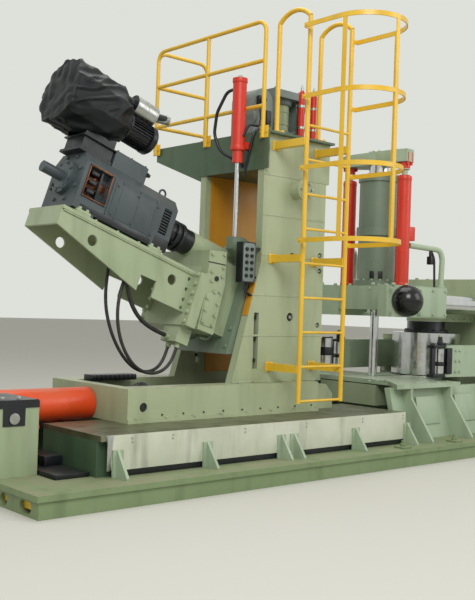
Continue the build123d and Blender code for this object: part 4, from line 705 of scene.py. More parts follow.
def fan_film():
    """Film gathered at the casing's end, drawn over it and tucked in toward the fan's motor."""
    shape = Drawing(DRIVE)
    gathered, tucked = FILM_ENDS
    rings = []
    for row in range(ROWS + 1):
        v = row / ROWS
        s, width = film_place(v)
        opened = min(1, max(0, v - GAP_STARTS) / 0.1)
        near, far = (edge * opened for edge in FILM_GAP)
        ring = []
        for column in range(COLUMNS + 1):
            angle = far + (math.tau - far + near) * column / COLUMNS
            slant = angle + s * WINDING
            at = Vector((s * 0.0028, math.cos(slant) * 1.5, math.sin(slant) * 1.5))
            fold = 1 - min(1, abs(noise.noise(at * 1.6)) * 4)
            pleat = noise.noise(Vector((s * 0.0012, slant * 3.4, 3.1)))
            wave = FOLD_MM * fold + PLEAT_MM * pleat * (1 if gathered < v < tucked else 1.8) - 5
            loose = opened * max(0, 1 - min(column, COLUMNS - column) / 9)
            away = max(outline_reach(angle) * width + wave * min(1, width * width * 1.3) - 4,
                       CASING_R if 0.24 < v < 0.79 else 3)
            away += FLUTTER_MM * loose * noise.noise(Vector((s * 0.012, 9.0, column / COLUMNS)))
            crumpled = Vector((away * math.sin(angle), away * math.cos(angle), 40)) * 0.010
            lift = CRUMPLE_MM * noise.noise(crumpled) * min(1, width * 2) if v < gathered else 0
            ring.append((s - abs(lift), away * math.sin(angle), FAN_N - away * math.cos(angle)))
        rings.append(ring)
    shape.solid(rings, closed=False)
    film = shape.finish("fan_film", "slide", "cover_black")
    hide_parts("blower_cover")


fan_film()


# Motor, fan and bracket, along the drive's axis

def motor_details():
    """Window frames, commutator, brush gear, covers, grilles and coupling of the motor."""
    trim, copper, black, brushes = (Drawing(DRIVE) for _ in range(4))
    motor = reach_of("motor", DRIVE)
    left, right, low, high = 222, 452, -148, 124      # frame round the commutator's window
    bar, rail = 12, 14
    frame_left, frame_right, roof = 186, 1142, 215    # ends and top of the motor's frame
    bell = frame_left - 40
    copper.rod((236, 0, -8), (438, 0, -8), [(0, 180), (0.1, 206), (0.66, 206), (0.7, 192), (1, 192)], 96)
    for side in SIDES:
        outward = (0, side, 0)
        flank = motor.far * side
        out = flank + 7 * side
        for s0, s1, n0, n1 in ((left, right, high - rail, high), (left, right, low, low + rail),
                               (left, left + bar, low + rail, high - rail),
                               (right - bar, right, low + rail, high - rail)):
            copper.block(s0, s1, flank, out, n0, n1, 2)
        trim.bolts(grid((left + 6, (left + right) / 2, right - 6), out, (high - 7, low + 7)), outward, 12)
        for s in (470, 560, 740, 920):
            trim.block(s, s + 10, flank, out, -200, 120, 2)
        trim.cover(500, 960, flank, flank + 4 * side, -190, 90, (20, 20), 16, round_off=3)
        for n in range(-116, 100, 24):
            black.plate([(flank - 11 * side, n), (flank - 11 * side, n + 5),
                         (flank + side, n + 14), (flank + side, n + 8)], 0, 1010, 1088, 0.5)
        black.block(240, 960, flank, flank + 2 * side, -250, -206, 1)
        black.block(985, 1138, flank, flank + 2 * side, -250, -150, 1)
        for n in (-84, -8, 68):
            brushes.block(262, 330, 206 * side, 236 * side, n - 13, n + 13, 3)
            brushes.rod((240, 226 * side, n + 22), (436, 226 * side, n + 22), 5, 10)
        brushes.block(350, 368, 200 * side, 234 * side, -128, 104, 3)
    trim.rod((bell - 10, 0, 0), (bell, 0, 0), [(0, 100), (1, 112)], 32, 2)
    trim.bolt_ring((bell, 0, 0), LEFT, 8, 122, 22, 0.2)
    trim.bolt_ring((frame_left, 0, 0), LEFT, 8, 196, 26, 0.39)
    trim.bolt_ring((frame_right, 0, 0), RIGHT, 8, 190, 26, 0.39)
    trim.eye((1038, -95, roof), UP)
    trim.eye((212, 95, roof), UP)
    lid = motor.top + 8                               # lid of the terminal box
    trim.block(455, 775, -162, 142, motor.top, lid, 3)
    trim.bolts(grid((468, 615, 762), (-150, -10, 130), lid), UP, 14)
    trim.finish("motor_trim", "slide", "motor_grey")
    copper.finish("commutator", "slide", "roll_steel", "copper")
    brushes.finish("brush_gear", "slide", "fan_black")

    neck, hubs = 1240, (1290, 1352)                   # where the coupling's shaft and hubs start
    black.rod((frame_right, 0, 0), (neck, 0, 0), [(0, 150), (0.5, 150), (0.55, 124), (1, 124)], 40, 3)
    black.rod((neck, 0, 0), (1498, 0, 0), 113, 40)
    for s in hubs:
        black.rod((s, 0, 0), (s + 40, 0, 0), 132, 40, 4)
    black.bolt_ring((hubs[0], 0, 0), LEFT, 8, 120, 20)
    for y in (-172, -100, -28):
        black.rod((785, y, 300), (812, y, 300), [(0, 20), (0.4, 20), (0.45, 15), (1, 15)], 16)
    black.finish("coupling_and_grilles", "slide", "fan_black")


def fan_details():
    """Fins and boxes of the fan's motor, bands of the silencer, rim of the duct."""
    y, n = -100, 600                                  # axis of the fan's motor
    flange, left, right = 470, 486, 700               # its flange, and the stretch with fins
    black = Drawing(DRIVE)
    black.fins((y, n), left, right, 28, 98, 119, 2.4, 0.6)
    black.rod((right, y, n), (right + 72, y, n),
              [(0, 112), (0.1, 124), (0.6, 124), (0.85, 108), (1, 62)], 40)
    black.rod((flange, y, n), (left, y, n), 124, 40, 3)
    black.bolt_ring((flange, y, n), LEFT, 6, 112, 16)
    black.block(560, 660, -60, 20, 690, 752, 6)
    black.finish("fan_motor_fins", "slide", "fan_black")

    tin = Drawing(DRIVE)
    y, n = -110, 800                                  # axis of the silencer
    for s in (482, 590, 688):
        tin.rod((s, y, n), (s + 12, y, n), 92, 40, 2)
    tin.rod((484, y, n), (699, y, n), 89.3, 40)
    tin.rod((699, -112, 803), (716, -116, 806), [(0, 88), (1, 40)], 32)
    tin.rod((712, -115, 805), (834, -151, 831), 39.4, 32, 1)
    tin.rod((820, -147, 828), (838, -152, 832), 43, 28, 2)
    tin.finish("silencer_bands", "slide", "tank_grey", "zinc_steel")

    rim = Drawing(DRIVE)
    foot = 237                                        # top of the duct's foot flange
    rim.bolts([*grid((170, 285, 410), (-162, 122), foot), *grid(128, (-110, -20, 70), foot)], UP, 15)
    rim.plate([(-172, 340), (132, 340), (132, 352), (-172, 352)], 0, 118, 452, 2)
    rim.finish("duct_rims", "slide", "fan_black")


def bracket_details():
    """Flange bolts, edge bars and the motor's feet on the bracket."""
    shape = Drawing(DRIVE)
    table = reach_of("motor_bracket", DRIVE).top
    flange_left, flange_right = 1500, 1603            # outer faces of the two bolted flanges
    for side in SIDES:
        shape.bolts(grid(flange_left, 305 * side, range(-725, -290, 84)), LEFT, 34)
        shape.bolts(grid(flange_right, 312 * side, range(-725, -640, 84)), RIGHT, 30)
        shape.block(120, flange_left, 250 * side, 262 * side, -322, -309, 3)
        for s0, s1 in ((221, 355), (958, 1095)):
            shape.block(s0, s1, 214 * side, 262 * side, table, table + 29, 4)
            shape.bolts(grid((s0 + 32, s1 - 32), 238 * side, table + 29), UP, 34)
    shape.bolts(grid((420, 640, 860), (-248, 248), table), UP, 20)
    shape.finish("bracket_bolts", "slide", "machine_green")


def gear_housing_details():
    """Flank covers, seams and bolts of the cone's gear housing, bolts and pipes of the slide."""
    green, dark = Drawing(), Drawing()
    for side in SIDES:
        outward = (0, side, 0)
        flank = reach_of("cone_housing").far * side
        out = flank + 8 * side
        green.plate([(-3640, 1230), (-3575, 1490), (-3420, 1540), (-3500, 1190)], 1, flank, out, 4)
        for level, spots in (
                (out, ((-3622, 1250), (-3598, 1350), (-3574, 1450), (-3500, 1505),
                       (-3440, 1505), (-3464, 1400), (-3490, 1300), (-3515, 1215))),
                (flank, ((-3530, 1600), (-3528, 1680), (-3410, 1640), (-3400, 1720),
                         (-3525, 1830), (-3390, 1832)))):
            green.bolts([(x, level, z) for x, z in spots], outward, 26)
        dark.plate([(-3566, 1758), (-3370, 1738), (-3370, 1748), (-3566, 1768)], 1,
                   flank, flank + 1.2 * side, 0)
        dark.rod((-3470, flank, 1620), (-3470, out, 1620), 22, 24)
    green.finish("gear_housing_cover", "slide", "machine_green")
    dark.finish("gear_housing_seam", "slide", "fan_black")

    face = Drawing(DRIVE)
    slab = reach_of("cone_housing", DRIVE).right
    face.bolts(grid(slab, (-318, 318), (-780, -620, 60)), LEFT, 30)
    face.rod((slab - 15, 0, 0), (slab, 0, 0), [(0, 170), (0.4, 190), (1, 190)], 48)
    face.bolt_ring((slab - 15, 0, 0), LEFT, 10, 150, 26, 0.3)
    for y in (-150, 40):
        face.pipe([(slab, y - 30, -520), (1930, y - 30, -520), (1930, y, -760), (1820, y, -770)], 14)
    face.finish("slide_face_bolts", "slide", "machine_green", "slide_enamel")


motor_details()
fan_details()
bracket_details()
gear_housing_details()


# Stand: plates and valve box

PLATE_FACE = 440             # outer faces of the stand's two plates


def stand_plate_details():
    """Weld seams, bearing cover, plugs and sockets on the outer faces of the stand's plates."""
    green, steel, black = Drawing(), Drawing(), Drawing()
    for side in SIDES:
        outward = (0, side, 0)
        y = PLATE_FACE * side
        for z, left in ((2570, -3042), (2210, -3042), (1850, -3042), (1490, -3142), (1130, -3244)):
            green.block(left, -2238, y, y + 3.5 * side, z, z + 16, 1.5)
        green.plate([(-3350, 720), (-2235, 720), (-2235, 738), (-3342, 738)], 1, y, y + 14 * side, 6)
        steel.bolts(grid(range(-3280, -2260, 170), y + 14 * side, 729), outward, 12)
        x, cap, z = -2637, y + 138 * side, 2467       # cap over the plate's upper boss
        green.rod((x, cap - 8 * side, z), (x, cap, z), [(0, 92), (1, 84)], 40)
        steel.bolt_ring((x, cap, z), outward, 6, 62, 26)
        for x, z, radius in ((-2657, 1854, 40), (-2660, 1307, 40), (-2288, 1893, 25),
                             (-2286, 1748, 25), (-2290, 1237, 25)):
            black.rod((x, y - 44 * side, z), (x, y - 20 * side, z), radius - 1, 32)
            steel.bolts([(x, y - 20 * side, z)], outward, radius * 0.8, washer=False)
        steel.post(-3081, y - 40 * side, 846, 1336, 12, 20)
        for z in (900, 1090, 1280):
            black.block(-3104, -3058, y - 52 * side, y - 22 * side, z, z + 34, 3)
    green.finish("plate_weld_seams", "axial_stand", "machine_green", "stand_green")
    steel.finish("plate_plugs", "axial_stand", "chrome_steel", "zinc_steel")
    black.finish("plate_sockets", "axial_stand", "box_black")


def valve_box_details():
    """Lid, push buttons and cables of the box on the near plate."""
    box = reach_of("valve_box")
    pale, black = Drawing(), Drawing()
    lid = box.near - 4
    pale.block(-3262, -3124, lid, box.near, box.foot + 10, box.top - 10, 2)
    pale.finish("valve_box_lid", "axial_stand", "guard_steel", "tank_grey")
    for x, y, z in grid((-3225, -3165), lid, range(1660, 1900, 58)):
        black.rod((x, y, z), (x, y - 18, z), [(0, 17), (0.5, 17), (0.55, 12), (1, 12)], 18)
    black.bolts(grid((-3254, -3132), lid, (1620, 1936)), NEAR, 8)
    for i in range(5):
        x, y = -3240 + i * 22, -430 + i * 15
        black.pipe([(x, y, box.foot), (x, y, 1540), (-3120 + i * 8, y, 1480 - i * 12),
                    (-3110, y, 1430)], 6, bend=30, sides=8)
    black.finish("valve_box_glands", "axial_stand", "box_black")


# Stand: what stands on its top

BALANCE = (-3190, -240)      # axis of the balance cylinder
TANK_FACE = -212             # near face of the plate on the oil tank


def press_details():
    """Tie rods, head and foot of the press cylinder, the tank's boxes, the pale barrel."""
    press, tank = reach_of("press_cylinder"), reach_of("oil_tank")
    x = press.middle
    flange, barrel, neck, head = 3045, 3080, 3330, 3380     # heights at which these start
    grey = Drawing()
    for rod_x, rod_y in product((x - 160, x + 160), (-140, 140)):
        grey.post(rod_x, rod_y, flange, head, 15, 16)
        grey.bolts([(rod_x, rod_y, press.top)], UP, 40)
    grey.bolt_ring((x, 0, flange), UP, 12, 205, 32, 0.13)
    grey.post(x, 0, flange, barrel, [(0, 135), (0.7, 135), (1, 122)], 40)
    grey.post(x, 0, neck, head, [(0, 122), (0.3, 132), (1, 132)], 40)
    grey.block(-2760, -2742, -180, 60, 3010, 3250, 5)
    grey.cover(tank.left + 5, tank.right - 5, TANK_FACE + 12, TANK_FACE, 3060, 3210, (20, 20), 14,
               across=2)
    grey.finish("press_fittings", "axial_stand", "tank_grey")

    pale = Drawing()
    pale.post(x, 0, barrel, neck, 107, 48)
    for z in (3140, 3260):
        pale.post(x, 0, z, z + 14, 112, 48, 2)
    pale.finish("press_barrel_sleeve", "axial_stand", "machine_green")


def top_oil_lines():
    """Valves on the tank's near face and the black lines that leave them and the balance cylinder."""
    black = Drawing()
    black.block(-2960, -2890, -250, TANK_FACE, 3230, 3320, 6)
    black.rod((-2925, -250, 3275), (-2925, -300, 3275), [(0, 26), (0.7, 26), (1, 18)], 20)
    black.block(-2850, -2790, -240, TANK_FACE, 3080, 3200, 5)
    black.pipe([(-2925, -230, 3230), (-2925, -250, 3100), (-3000, -300, 3020), (-3120, -300, 3020),
                (-3190, -302, 2900)], 12, bend=70)
    black.pipe([(-3190, -180, 3340), (-3200, -80, 3330), (-3220, 30, 3150), (-3220, 60, 2960),
                (-3190, 10, 2800), (-3150, -110, 2730), (-3085, -170, 2700), (-3062, -170, 2650)],
               15, bend=170)
    black.pipe([(-3000, -320, 3000), (-3085, -330, 2950), (-3100, -290, 2760), (-3110, -240, 2560)],
               13, bend=120)
    black.finish("top_oil_lines", "axial_stand", "box_black")


def bottle_details():
    """Necks, valves and clamps of the two pressure bottles, collars of the balance cylinder."""
    bottles = reach_of("accumulators")
    y = (bottles.near + bottles.far) / 2
    red, steel = Drawing(), Drawing()
    for x in (bottles.left + 30, bottles.right - 30):
        red.post(x, y, bottles.top, bottles.top + 40, [(0, 30), (0.6, 24), (1, 13)])
        steel.post(x, y, bottles.top + 40, bottles.top + 90, [(0, 14), (0.6, 14), (0.65, 8), (1, 8)], 16)
        for z in (3060, 3260):
            steel.post(x, y, z, z + 22, 32, 28)
    for z in (2780, 3385):
        red.post(*BALANCE, z, z + 40, 68, 32, 3)
    red.finish("bottle_shoulders", "axial_stand", "lift_red")
    for z in (3055, 3255):
        steel.block(-2560, -2326, -334, -326, z, z + 32, 2)
    for x in (-2552, -2356):
        steel.block(x, x + 22, -334, -320, bottles.foot, 3290, 2)
    steel.bolts([(*BALANCE, 3425)], UP, 40)
    steel.finish("bottle_clamps", "axial_stand", "chrome_steel", "zinc_steel")


def rail_feet():
    """Feet, plates and bolts of the handrails, the ladder and its cage."""
    yellow = Drawing()
    deck = reach_of("stand_top_deck").top
    for y in (-440, 350, 1141):                       # posts on the deck's left edge
        yellow.block(-3066, -3060, y - 55, y + 55, 2890, 3000, 3)
        yellow.bolts(grid(-3066, (y - 38, y + 38), 2945), LEFT, 18)
    # The post at the deck's far right corner
    yellow.block(-2494, -2420, 1086, 1160, deck, deck + 10, 3)
    yellow.bolts([(-2479, 1101, deck + 10)], UP, 18)
    for x in (-2910, -2365):                          # the ladder's two stiles
        yellow.block(x - 55, x + 55, -495, -390, deck, deck + 10, 3)
        yellow.bolts(grid((x - 38, x + 38), -480, deck + 10), UP, 18)
        for z in (860, 1826, 2840):
            yellow.block(x - 44, x + 44, -450, -PLATE_FACE, z - 44, z + 44, 3)
            yellow.bolts(grid(x, -450, (z - 36, z + 36)), NEAR, 14)
    for z in (1975, 2600, 3215, 3830):                # the cage's hoops
        yellow.bolts([(-2987, -850, z)], LEFT, 16)
        yellow.bolts([(-2288, -850, z)], RIGHT, 16)
    yellow.finish("rail_feet", "axial_stand", "safety_yellow")


def deck_tread():
    """Raised ribs of the walkway's tread plate."""
    deck = Drawing()
    top = reach_of("stand_top_deck").top
    for x, y in product(range(-2995, -2440, 54), range(520, 1130, 24)):
        deck.block(x, x + 26, y, y + 5, top, top + 2.5, 1)
    deck.finish("deck_tread", "axial_stand", "deep_green")


stand_plate_details()
valve_box_details()
press_details()
top_oil_lines()
bottle_details()
rail_feet()
deck_tread()


# Mandrel carriage and its lift

TUBE_X = reach_of("lift_housing").middle     # axis of the lift's tube and the mandrel
LIFT = (-965, (-375, 375))                   # the two lift cylinders
STUB = (-1262, 1505)                         # axis of the head's stubs
PULL_ROD = (450, 1490)                       # upper pull rods, y and z
LOW_ROD = (260, 520)                         # lower pull rods


def head_details():
    """Flange bolts, side covers and oil pipes of the mandrel head."""
    green = Drawing()
    head = reach_of("mandrel_head")
    tube = reach_of("lift_housing")
    green.bolt_ring((TUBE_X, 0, 1716), UP, 16, 222, 24, 0.1)
    green.bolt_ring((TUBE_X, 0, tube.top), UP, 16, 196, 24, 0.1)
    green.bolts(grid((-1110, -760), (-200, 200), head.top), UP, 34)
    green.bolts(grid(head.left, (-620, -340, 340, 620), (head.foot + 40, head.top - 40)), LEFT, 30)
    for side in SIDES:
        green.pipe([(-900, 420 * side, 2090), (-600, 590 * side, 2056), (-575, 600 * side, 1960),
                    (-590, 600 * side, head.top + 2)], 29, bend=150, sides=20)
        green.post(-590, 600 * side, head.top, head.top + 22, 44, 28, 2)
        green.cover(-1040, -560, 650 * side, 661 * side, head.foot + 12, head.top - 12, (25, 26), 26)
        green.bolts(grid((-1390, -1180, -590), (350 * side, 610 * side), head.top), UP, 34)
        green.block(-560, -547, 330 * side, 640 * side, head.foot + 12, head.top - 12, 3)
    green.finish("head_covers", "mandrel_carriage", "machine_green", "cool_green")


def lift_cylinder_details():
    """Collars, bolts and port blocks of the two lift cylinders."""
    red = Drawing()
    x, ys = LIFT
    cylinders = reach_of("lift_cylinders")
    for y in ys:
        for z in (cylinders.foot, cylinders.top - 40):
            red.post(x, y, z, z + 40, 76, 40, 3)
        red.bolt_ring((x, y, cylinders.top), UP, 6, 58, 22, 0.4)
        side = math.copysign(1, y)
        red.block(-925, -838, y + 6 * side, y + 62 * side, 2140, 2286, 5)
        red.bolts(grid(-838, y + 34 * side, (2165, 2261)), RIGHT, 18)
        red.block(-1012, -918, y - 34, y + 34, cylinders.top, cylinders.top + 18, 4)
    red.finish("lift_cylinder_caps", "mandrel_carriage", "lift_red")


def head_valves():
    """Valves and lines on the head, and two small boxes on the tube's flange."""
    black = Drawing()
    for turn in (3.63, 4.05):
        out = Vector((math.cos(turn), math.sin(turn), 0))
        across = Vector((-out.y, out.x, 0)) * 22
        middle = Vector((TUBE_X, 0, 0))
        ring = [middle + out * 198 - across, middle + out * 198 + across,
                middle + out * 228 + across, middle + out * 228 - across]
        black.solid([[(place.x, place.y, z) for place in ring] for z in (1740, 1815)], 4)
    for side in SIDES:
        black.pipe([(-700, 545 * side, 2050), (-660, 560 * side, 1960), (-650, 565 * side, 1662)],
                   12, bend=120)
        black.block(-730, -680, 515 * side, 570 * side, 1900, 1985, 5)
        black.post(-705, 542 * side, 1985, 2040, 16, 16)
    black.finish("head_valves", "mandrel_carriage", "box_black")


def stub_caps():
    """Glossy black balls over the ends of the head's stubs."""
    caps = Drawing()
    x, z = STUB
    ball_r, ball_y = 160, 690
    turns = [math.pi * (i + 0.02) / 24.04 for i in range(25)]
    for side in SIDES:
        caps.rod((x, (ball_y - ball_r) * side, z), (x, (ball_y + ball_r) * side, z),
                 [(0.5 - 0.5 * math.cos(turn), ball_r * math.sin(turn)) for turn in turns], 64)
    caps.finish("stub_caps", "mandrel_carriage", "box_black", "gloss_black")


def pull_rod_nuts():
    """Large hexagon nuts and rod ends at the head and behind the crosshead."""
    steel = Drawing()
    behind = reach_of("rear_crosshead").right
    for side in SIDES:
        y, z = PULL_ROD[0] * side, PULL_ROD[1]
        steel.rod((-545, y, z), (-505, y, z), 128, 6, 3)
        steel.rod((behind, y, z), (behind + 80, y, z), 132, 6, 3)
        steel.rod((behind + 80, y, z), (behind + 105, y, z), 92, 32, 3)
        y, z = LOW_ROD[0] * side, LOW_ROD[1]
        steel.rod((behind, y, z), (behind + 70, y, z), 92, 6, 3)
        steel.rod((behind + 70, y, z), (behind + 90, y, z), 58, 32, 3)
    steel.finish("pull_rod_nuts", "mandrel_carriage", "chrome_steel", "zinc_steel")


def lift_yoke_details():
    """Clevises of the lift's rods, bolts and end plates of the yoke."""
    lifted = Drawing()
    x, ys = LIFT
    for y in ys:
        lifted.post(x, y, 2876, 2958, [(0, 40), (0.2, 54), (1, 54)], 32, 2)
        for left in (x - 44, x + 24):
            lifted.block(left, left + 20, y - 66, y + 66, 2925, 3060, 3)
        lifted.rod((x - 65, y, 3010), (x + 65, y, 3010), 24, 24, 2)
    lifted.finish("lift_clevises", "mandrel_lift", "lift_red")
    yoke = Drawing()
    top = reach_of("lift_yoke").top
    yoke.bolt_ring((TUBE_X, 0, top), UP, 10, 105, 30)
    yoke.post(TUBE_X, 0, top, top + 14, 82, 40, 3)
    for side in SIDES:
        yoke.block(-1060, -1052, 60 * side, 250 * side, 2985, 3065, 3)
    yoke.finish("yoke_bolts", "mandrel_lift", "machine_green")


# Rolls, arms and table

ROLLER = (-705, 700)         # axis of a centring roller
ARM_PIN = (330, 780)         # axis of a centring arm's pin
TRACER = (-1685, 0)          # axis of the sensing roller


def main_roll_details():
    """Bearing cover over the main roll, bolts on its arms, and the roll's hub."""
    cover = Drawing()
    top = reach_of("roll_arms").top
    cover.post(0, 0, top, top + 26, [(0, 205), (0.8, 205), (1, 198)], 56)
    cover.bolt_ring((0, 0, top + 26), UP, 12, 172, 30)
    cover.post(0, 0, top + 26, top + 50, 96, 40, 4)
    for side in SIDES:
        cover.bolts(grid((90, 210, 330, 450), 300 * side, (1340, 1440)), (0, side, 0), 26)
    cover.finish("roll_arm_covers", "root", "machine_green")
    dark = Drawing()
    hub = 1170                                        # where the roll's black hub starts
    dark.post(0, 0, hub, hub + 128, [(0, 250), (0.18, 250), (0.2, 206), (1, 206)], 64, 2)
    dark.bolt_ring((0, 0, hub + 23), UP, 12, 228, 28)
    dark.finish("roll_hub_cap", "main_roll_body", "box_black")


def centring_arm_details(name, side):
    """Black fork, band and pin cap of one centring arm."""
    body = "centring_arm_" + name + "_body"
    fork = Drawing()
    x, y = ROLLER[0], ROLLER[1] * side
    left, right, cheek, top = -860, -580, 1034, 1062  # the fork's ends, its upper cheek's two faces
    fork.block(left, right, y - 45, y + 45, cheek, top, 4)
    fork.block(left, right, y - 45, y + 45, 731, 764, 4)
    fork.block(left + 4, left + 64, y - 16, y + 16, 765, cheek, 4)
    fork.block(-665, right + 2, 770 * side, 650 * side, 764, cheek + 2, 4)
    fork.bolts(grid((left + 24, right - 50), y, top), UP, 40)
    fork.post(x, y, top, top + 50, 30, 6, 2)
    fork.post(x, y, top + 50, top + 88, 24, 6, 2)
    fork.finish("roller_fork_" + name, body, "box_black")

    band = Drawing()
    band.post(x, y, 848, 892, 53, 40, 3)
    band.finish("roller_band_" + name, "centring_roller_" + name + "_body", "box_black")

    arm = Drawing()
    x, y = ARM_PIN[0], ARM_PIN[1] * side
    cap = 1078                                        # top of the pin's cap
    arm.post(x, y, cap - 18, cap, 72, 40, 4)
    arm.bolt_ring((x, y, cap), UP, 6, 52, 18)
    for x in (-530, -470):                            # along the arm's sloping flank
        arm.bolts(grid(x, (760 + (x + 665) * 0.11) * side, (790, 900, 1010)), (0, side, 0), 24)
    arm.finish("arm_pin_cap_" + name, body, "machine_green", "cool_green")


def tracer_details():
    """Black band and cap on the sensing roller."""
    tracer = Drawing()
    tracer.post(*TRACER, 925, 1010, 72, 40, 3)
    tracer.post(*TRACER, 1100, 1112, [(0, 46), (1, 40)], 32)
    tracer.finish("tracer_band", "tracer_roller_body", "box_black")


def table_details():
    """Bolts of the rolling table and sloping covers between the base's ribs."""
    table = Drawing()
    top = reach_of("rolling_table").top
    for side in SIDES:
        table.bolts(grid(range(-1280, -600, 170), 850 * side, top), UP, 22)
        table.bolts(grid((-1580, -1450, -1330), 500 * side, top), UP, 22)
        foot_y, top_y, sheet = 868 * side, 812 * side, 14 * side
        for x in (-1080, -430, 160):
            table.plate([(foot_y, 290), (foot_y + sheet, 290), (top_y + sheet, 560), (top_y, 560)],
                        0, x - 170, x + 170, 4)
    table.finish("table_covers", "root", "machine_green", "cool_green")


# Radial housing, crosshead and drive motor

CYLINDER_Z = 1050            # axis of the radial cylinder
CYLINDER_FLANGE = 1310       # right face of its flange
DRIVE_MOTOR = (880, 470)     # axis of the main roll's motor, y and z


def housing_details():
    """Covers and bolts of the radial housing and of the gear unit beside it."""
    green = Drawing()
    housing = reach_of("radial_housing")
    for side in SIDES:
        y = housing.far * side
        green.cover(600, 1130, y, y + 12 * side, 1040, 1480, (28, 28), 28, down=3, round_off=6)
        for x in (548, 1170):
            green.block(x, x + 18, y, y + 16 * side, 300, 1480, 4)
        green.bolts(grid((540, 760, 980), 560 * side, housing.top), UP, 36)
    green.bolt_ring((CYLINDER_FLANGE, 0, CYLINDER_Z), RIGHT, 14, 268, 34)
    gears = reach_of("main_drive")
    green.cover(560, 1000, 1100, 1112, 190, 730, (25, 25), 22, down=3, round_off=5)
    green.bolts(grid((590, 970), (690, 880, 1060), gears.top), UP, 26)
    green.block(690, 870, 800, 960, gears.top, gears.top + 16, 4)
    green.post(780, 880, gears.top + 16, gears.top + 70, [(0, 22), (0.5, 22), (0.55, 36), (1, 32)])
    green.finish("housing_covers", "root", "machine_green")


def crosshead_details():
    """Covers, bolts and lifting eye of the rear crosshead."""
    head = Drawing()
    cross = reach_of("rear_crosshead")
    cap = cross.right + 32
    head.rod((cross.right, 0, CYLINDER_Z), (cap, 0, CYLINDER_Z), [(0, 190), (0.8, 190), (1, 180)], 48)
    head.bolt_ring((cap, 0, CYLINDER_Z), RIGHT, 10, 158, 30)
    for side in SIDES:
        head.cover(1660, 1860, cross.far * side, (cross.far + 12) * side, 620, 1480, (20, 30), 26,
                   across=2, down=3, round_off=5)
        head.bolts(grid((1680, 1840), 520 * side, cross.top), UP, 34)
    head.eye((1760, 0, cross.top), UP, 44, 12)
    head.finish("crosshead_covers", "mandrel_carriage", "machine_green")


def drive_motor_details():
    """Fins, cowl and terminal box of the drive motor, and the radial feed's hoses."""
    y, z = DRIVE_MOTOR
    flange, cowl, end = 1060, 1740, 1925              # the motor's flange and fan cowl, along x
    box = SimpleNamespace(left=1240, right=1480, near=y - 80, far=y + 80, top=800)
    grey = Drawing()
    grey.fins((y, z), flange + 30, cowl - 10, 36, 222, 250, 3, 0.7)
    grey.rod((flange - 60, y, z), (flange, y, z), [(0, 262), (0.8, 262), (1, 240)], 48)
    grey.bolt_ring((flange, y, z), RIGHT, 8, 232, 26, 0.3)
    grey.rod((cowl, y, z), (end, y, z), [(0, 256), (0.7, 256), (1, 225)], 48)
    grey.block(box.left, box.right, box.near, box.far, 690, box.top, 8)
    grey.bolts(grid((box.left + 22, box.right - 22), (box.near + 22, box.far - 22), box.top), UP, 16)
    grey.finish("drive_motor_fins", "root", "motor_grey")
    black = Drawing()
    for radius in (60, 105, 150, 195):                # rings of the cowl's grille
        black.rod((end, y, z), (end + 2 + radius * 0.01, y, z), radius, 40)
    black.rod((box.right, y, 745), (box.right + 40, y, 745), 22, 20)
    for port in (1000, 1100):
        black.pipe([(1380, -180, port + 180), (1380, -330, port + 220), (1250, -420, port + 240),
                    (1252, -420, port)], 22, bend=90)
    black.finish("feed_hoses", "root", "hose_black")


# Feed cylinder, bed and carriage

FEED_Z = 560                 # axis of the feed cylinder
CHAIN = (209, 215, 345)      # near edge of the chain's side links, and the chain's two edges
LINK = 46                    # pitch of the chain


def feed_cylinder_details():
    """Head bolts, collar and port block of the feed cylinder."""
    red = Drawing()
    left = reach_of("feed_cylinder").left
    red.bolt_ring((left, 0, FEED_Z), LEFT, 12, 108, 26)
    red.rod((left + 40, 0, FEED_Z), (left + 70, 0, FEED_Z), 137, 56, 3)
    red.block(-6060, -5980, -45, 45, 690, 716, 5)
    red.finish("feed_cylinder_bolts", "root", "cylinder_orange")


def guard_screws():
    """Screws of the way guards and the trunnion bearings, and the guards' left trim."""
    steel = Drawing()
    bearings, guards = reach_of("trunnion_bearings"), reach_of("way_guards")
    joints = [(-4968, 420), (-4980, 360), (-4966, 300), (-4790, 424), (-4786, 396), (-4420, 424),
              (-4424, 398)]
    joints += [(x, z) for x in (-3700, -3000, -2280, -1700) for z in (424, 396)]
    for side in SIDES:
        skin = guards.far * side
        steel.rod((-5527, 656 * side, FEED_Z), (-5527, 673 * side, FEED_Z), 38.8, 40, 1.5)
        steel.bolts(grid((-5590, -5464), (240 * side, 600 * side), bearings.top), UP, 30)
        steel.bolts([(x, skin, z) for x, z in joints], (0, side, 0), 11)
        steel.plate([(-5000, 206), (-4975, 206), (-4948, 450), (-4998, 450)], 1, skin + side,
                    skin + 5 * side, 1)
    steel.finish("guard_screws", "root", "chrome_steel", "zinc_steel")


def carriage_details():
    """Foot bolts of the carriage, and the cable chain and hoses that lie in it."""
    green, black = Drawing(), Drawing()
    for side in SIDES:
        green.bolts(grid(range(-4440, -2400, 290), 575 * side, 484), UP, 16)
        black.bolts(grid(range(-4180, -2400, 214), 560 * side, 508), (0, side, 0), 14, washer=False)
        black.rod((-4363, 530 * side, 572), (-4363, 546 * side, 572), 36.5, 32)
    green.finish("carriage_foot_bolts", "axial_stand", "machine_green", "stand_green")

    side_links, near, far = CHAIN
    for x in range(-4340, -3420, LINK):
        z = 715 if x < -3880 else 596                 # lower where the cone housing comes down
        black.block(x, x + LINK - 6, near, far, z, z + 50, 5)
        black.block(x, x + LINK - 6, side_links, near, z + 7, z + 43, 2)
    for i, y in enumerate((-348, -320, -292, -264)):
        black.pipe([(-4370, y, 680), (-4250 + i * 30, y, 722 + 6 * i), (-4050, y + 4, 650),
                    (-3900 + i * 12, y, 660 - 8 * i), (-3800, y, 630), (-3790, y, 600)], 13, bend=100)
    black.block(-4330, -4180, -345, -215, 640, 700, 6)
    black.finish("cable_chain_and_hoses", "axial_stand", "box_black")


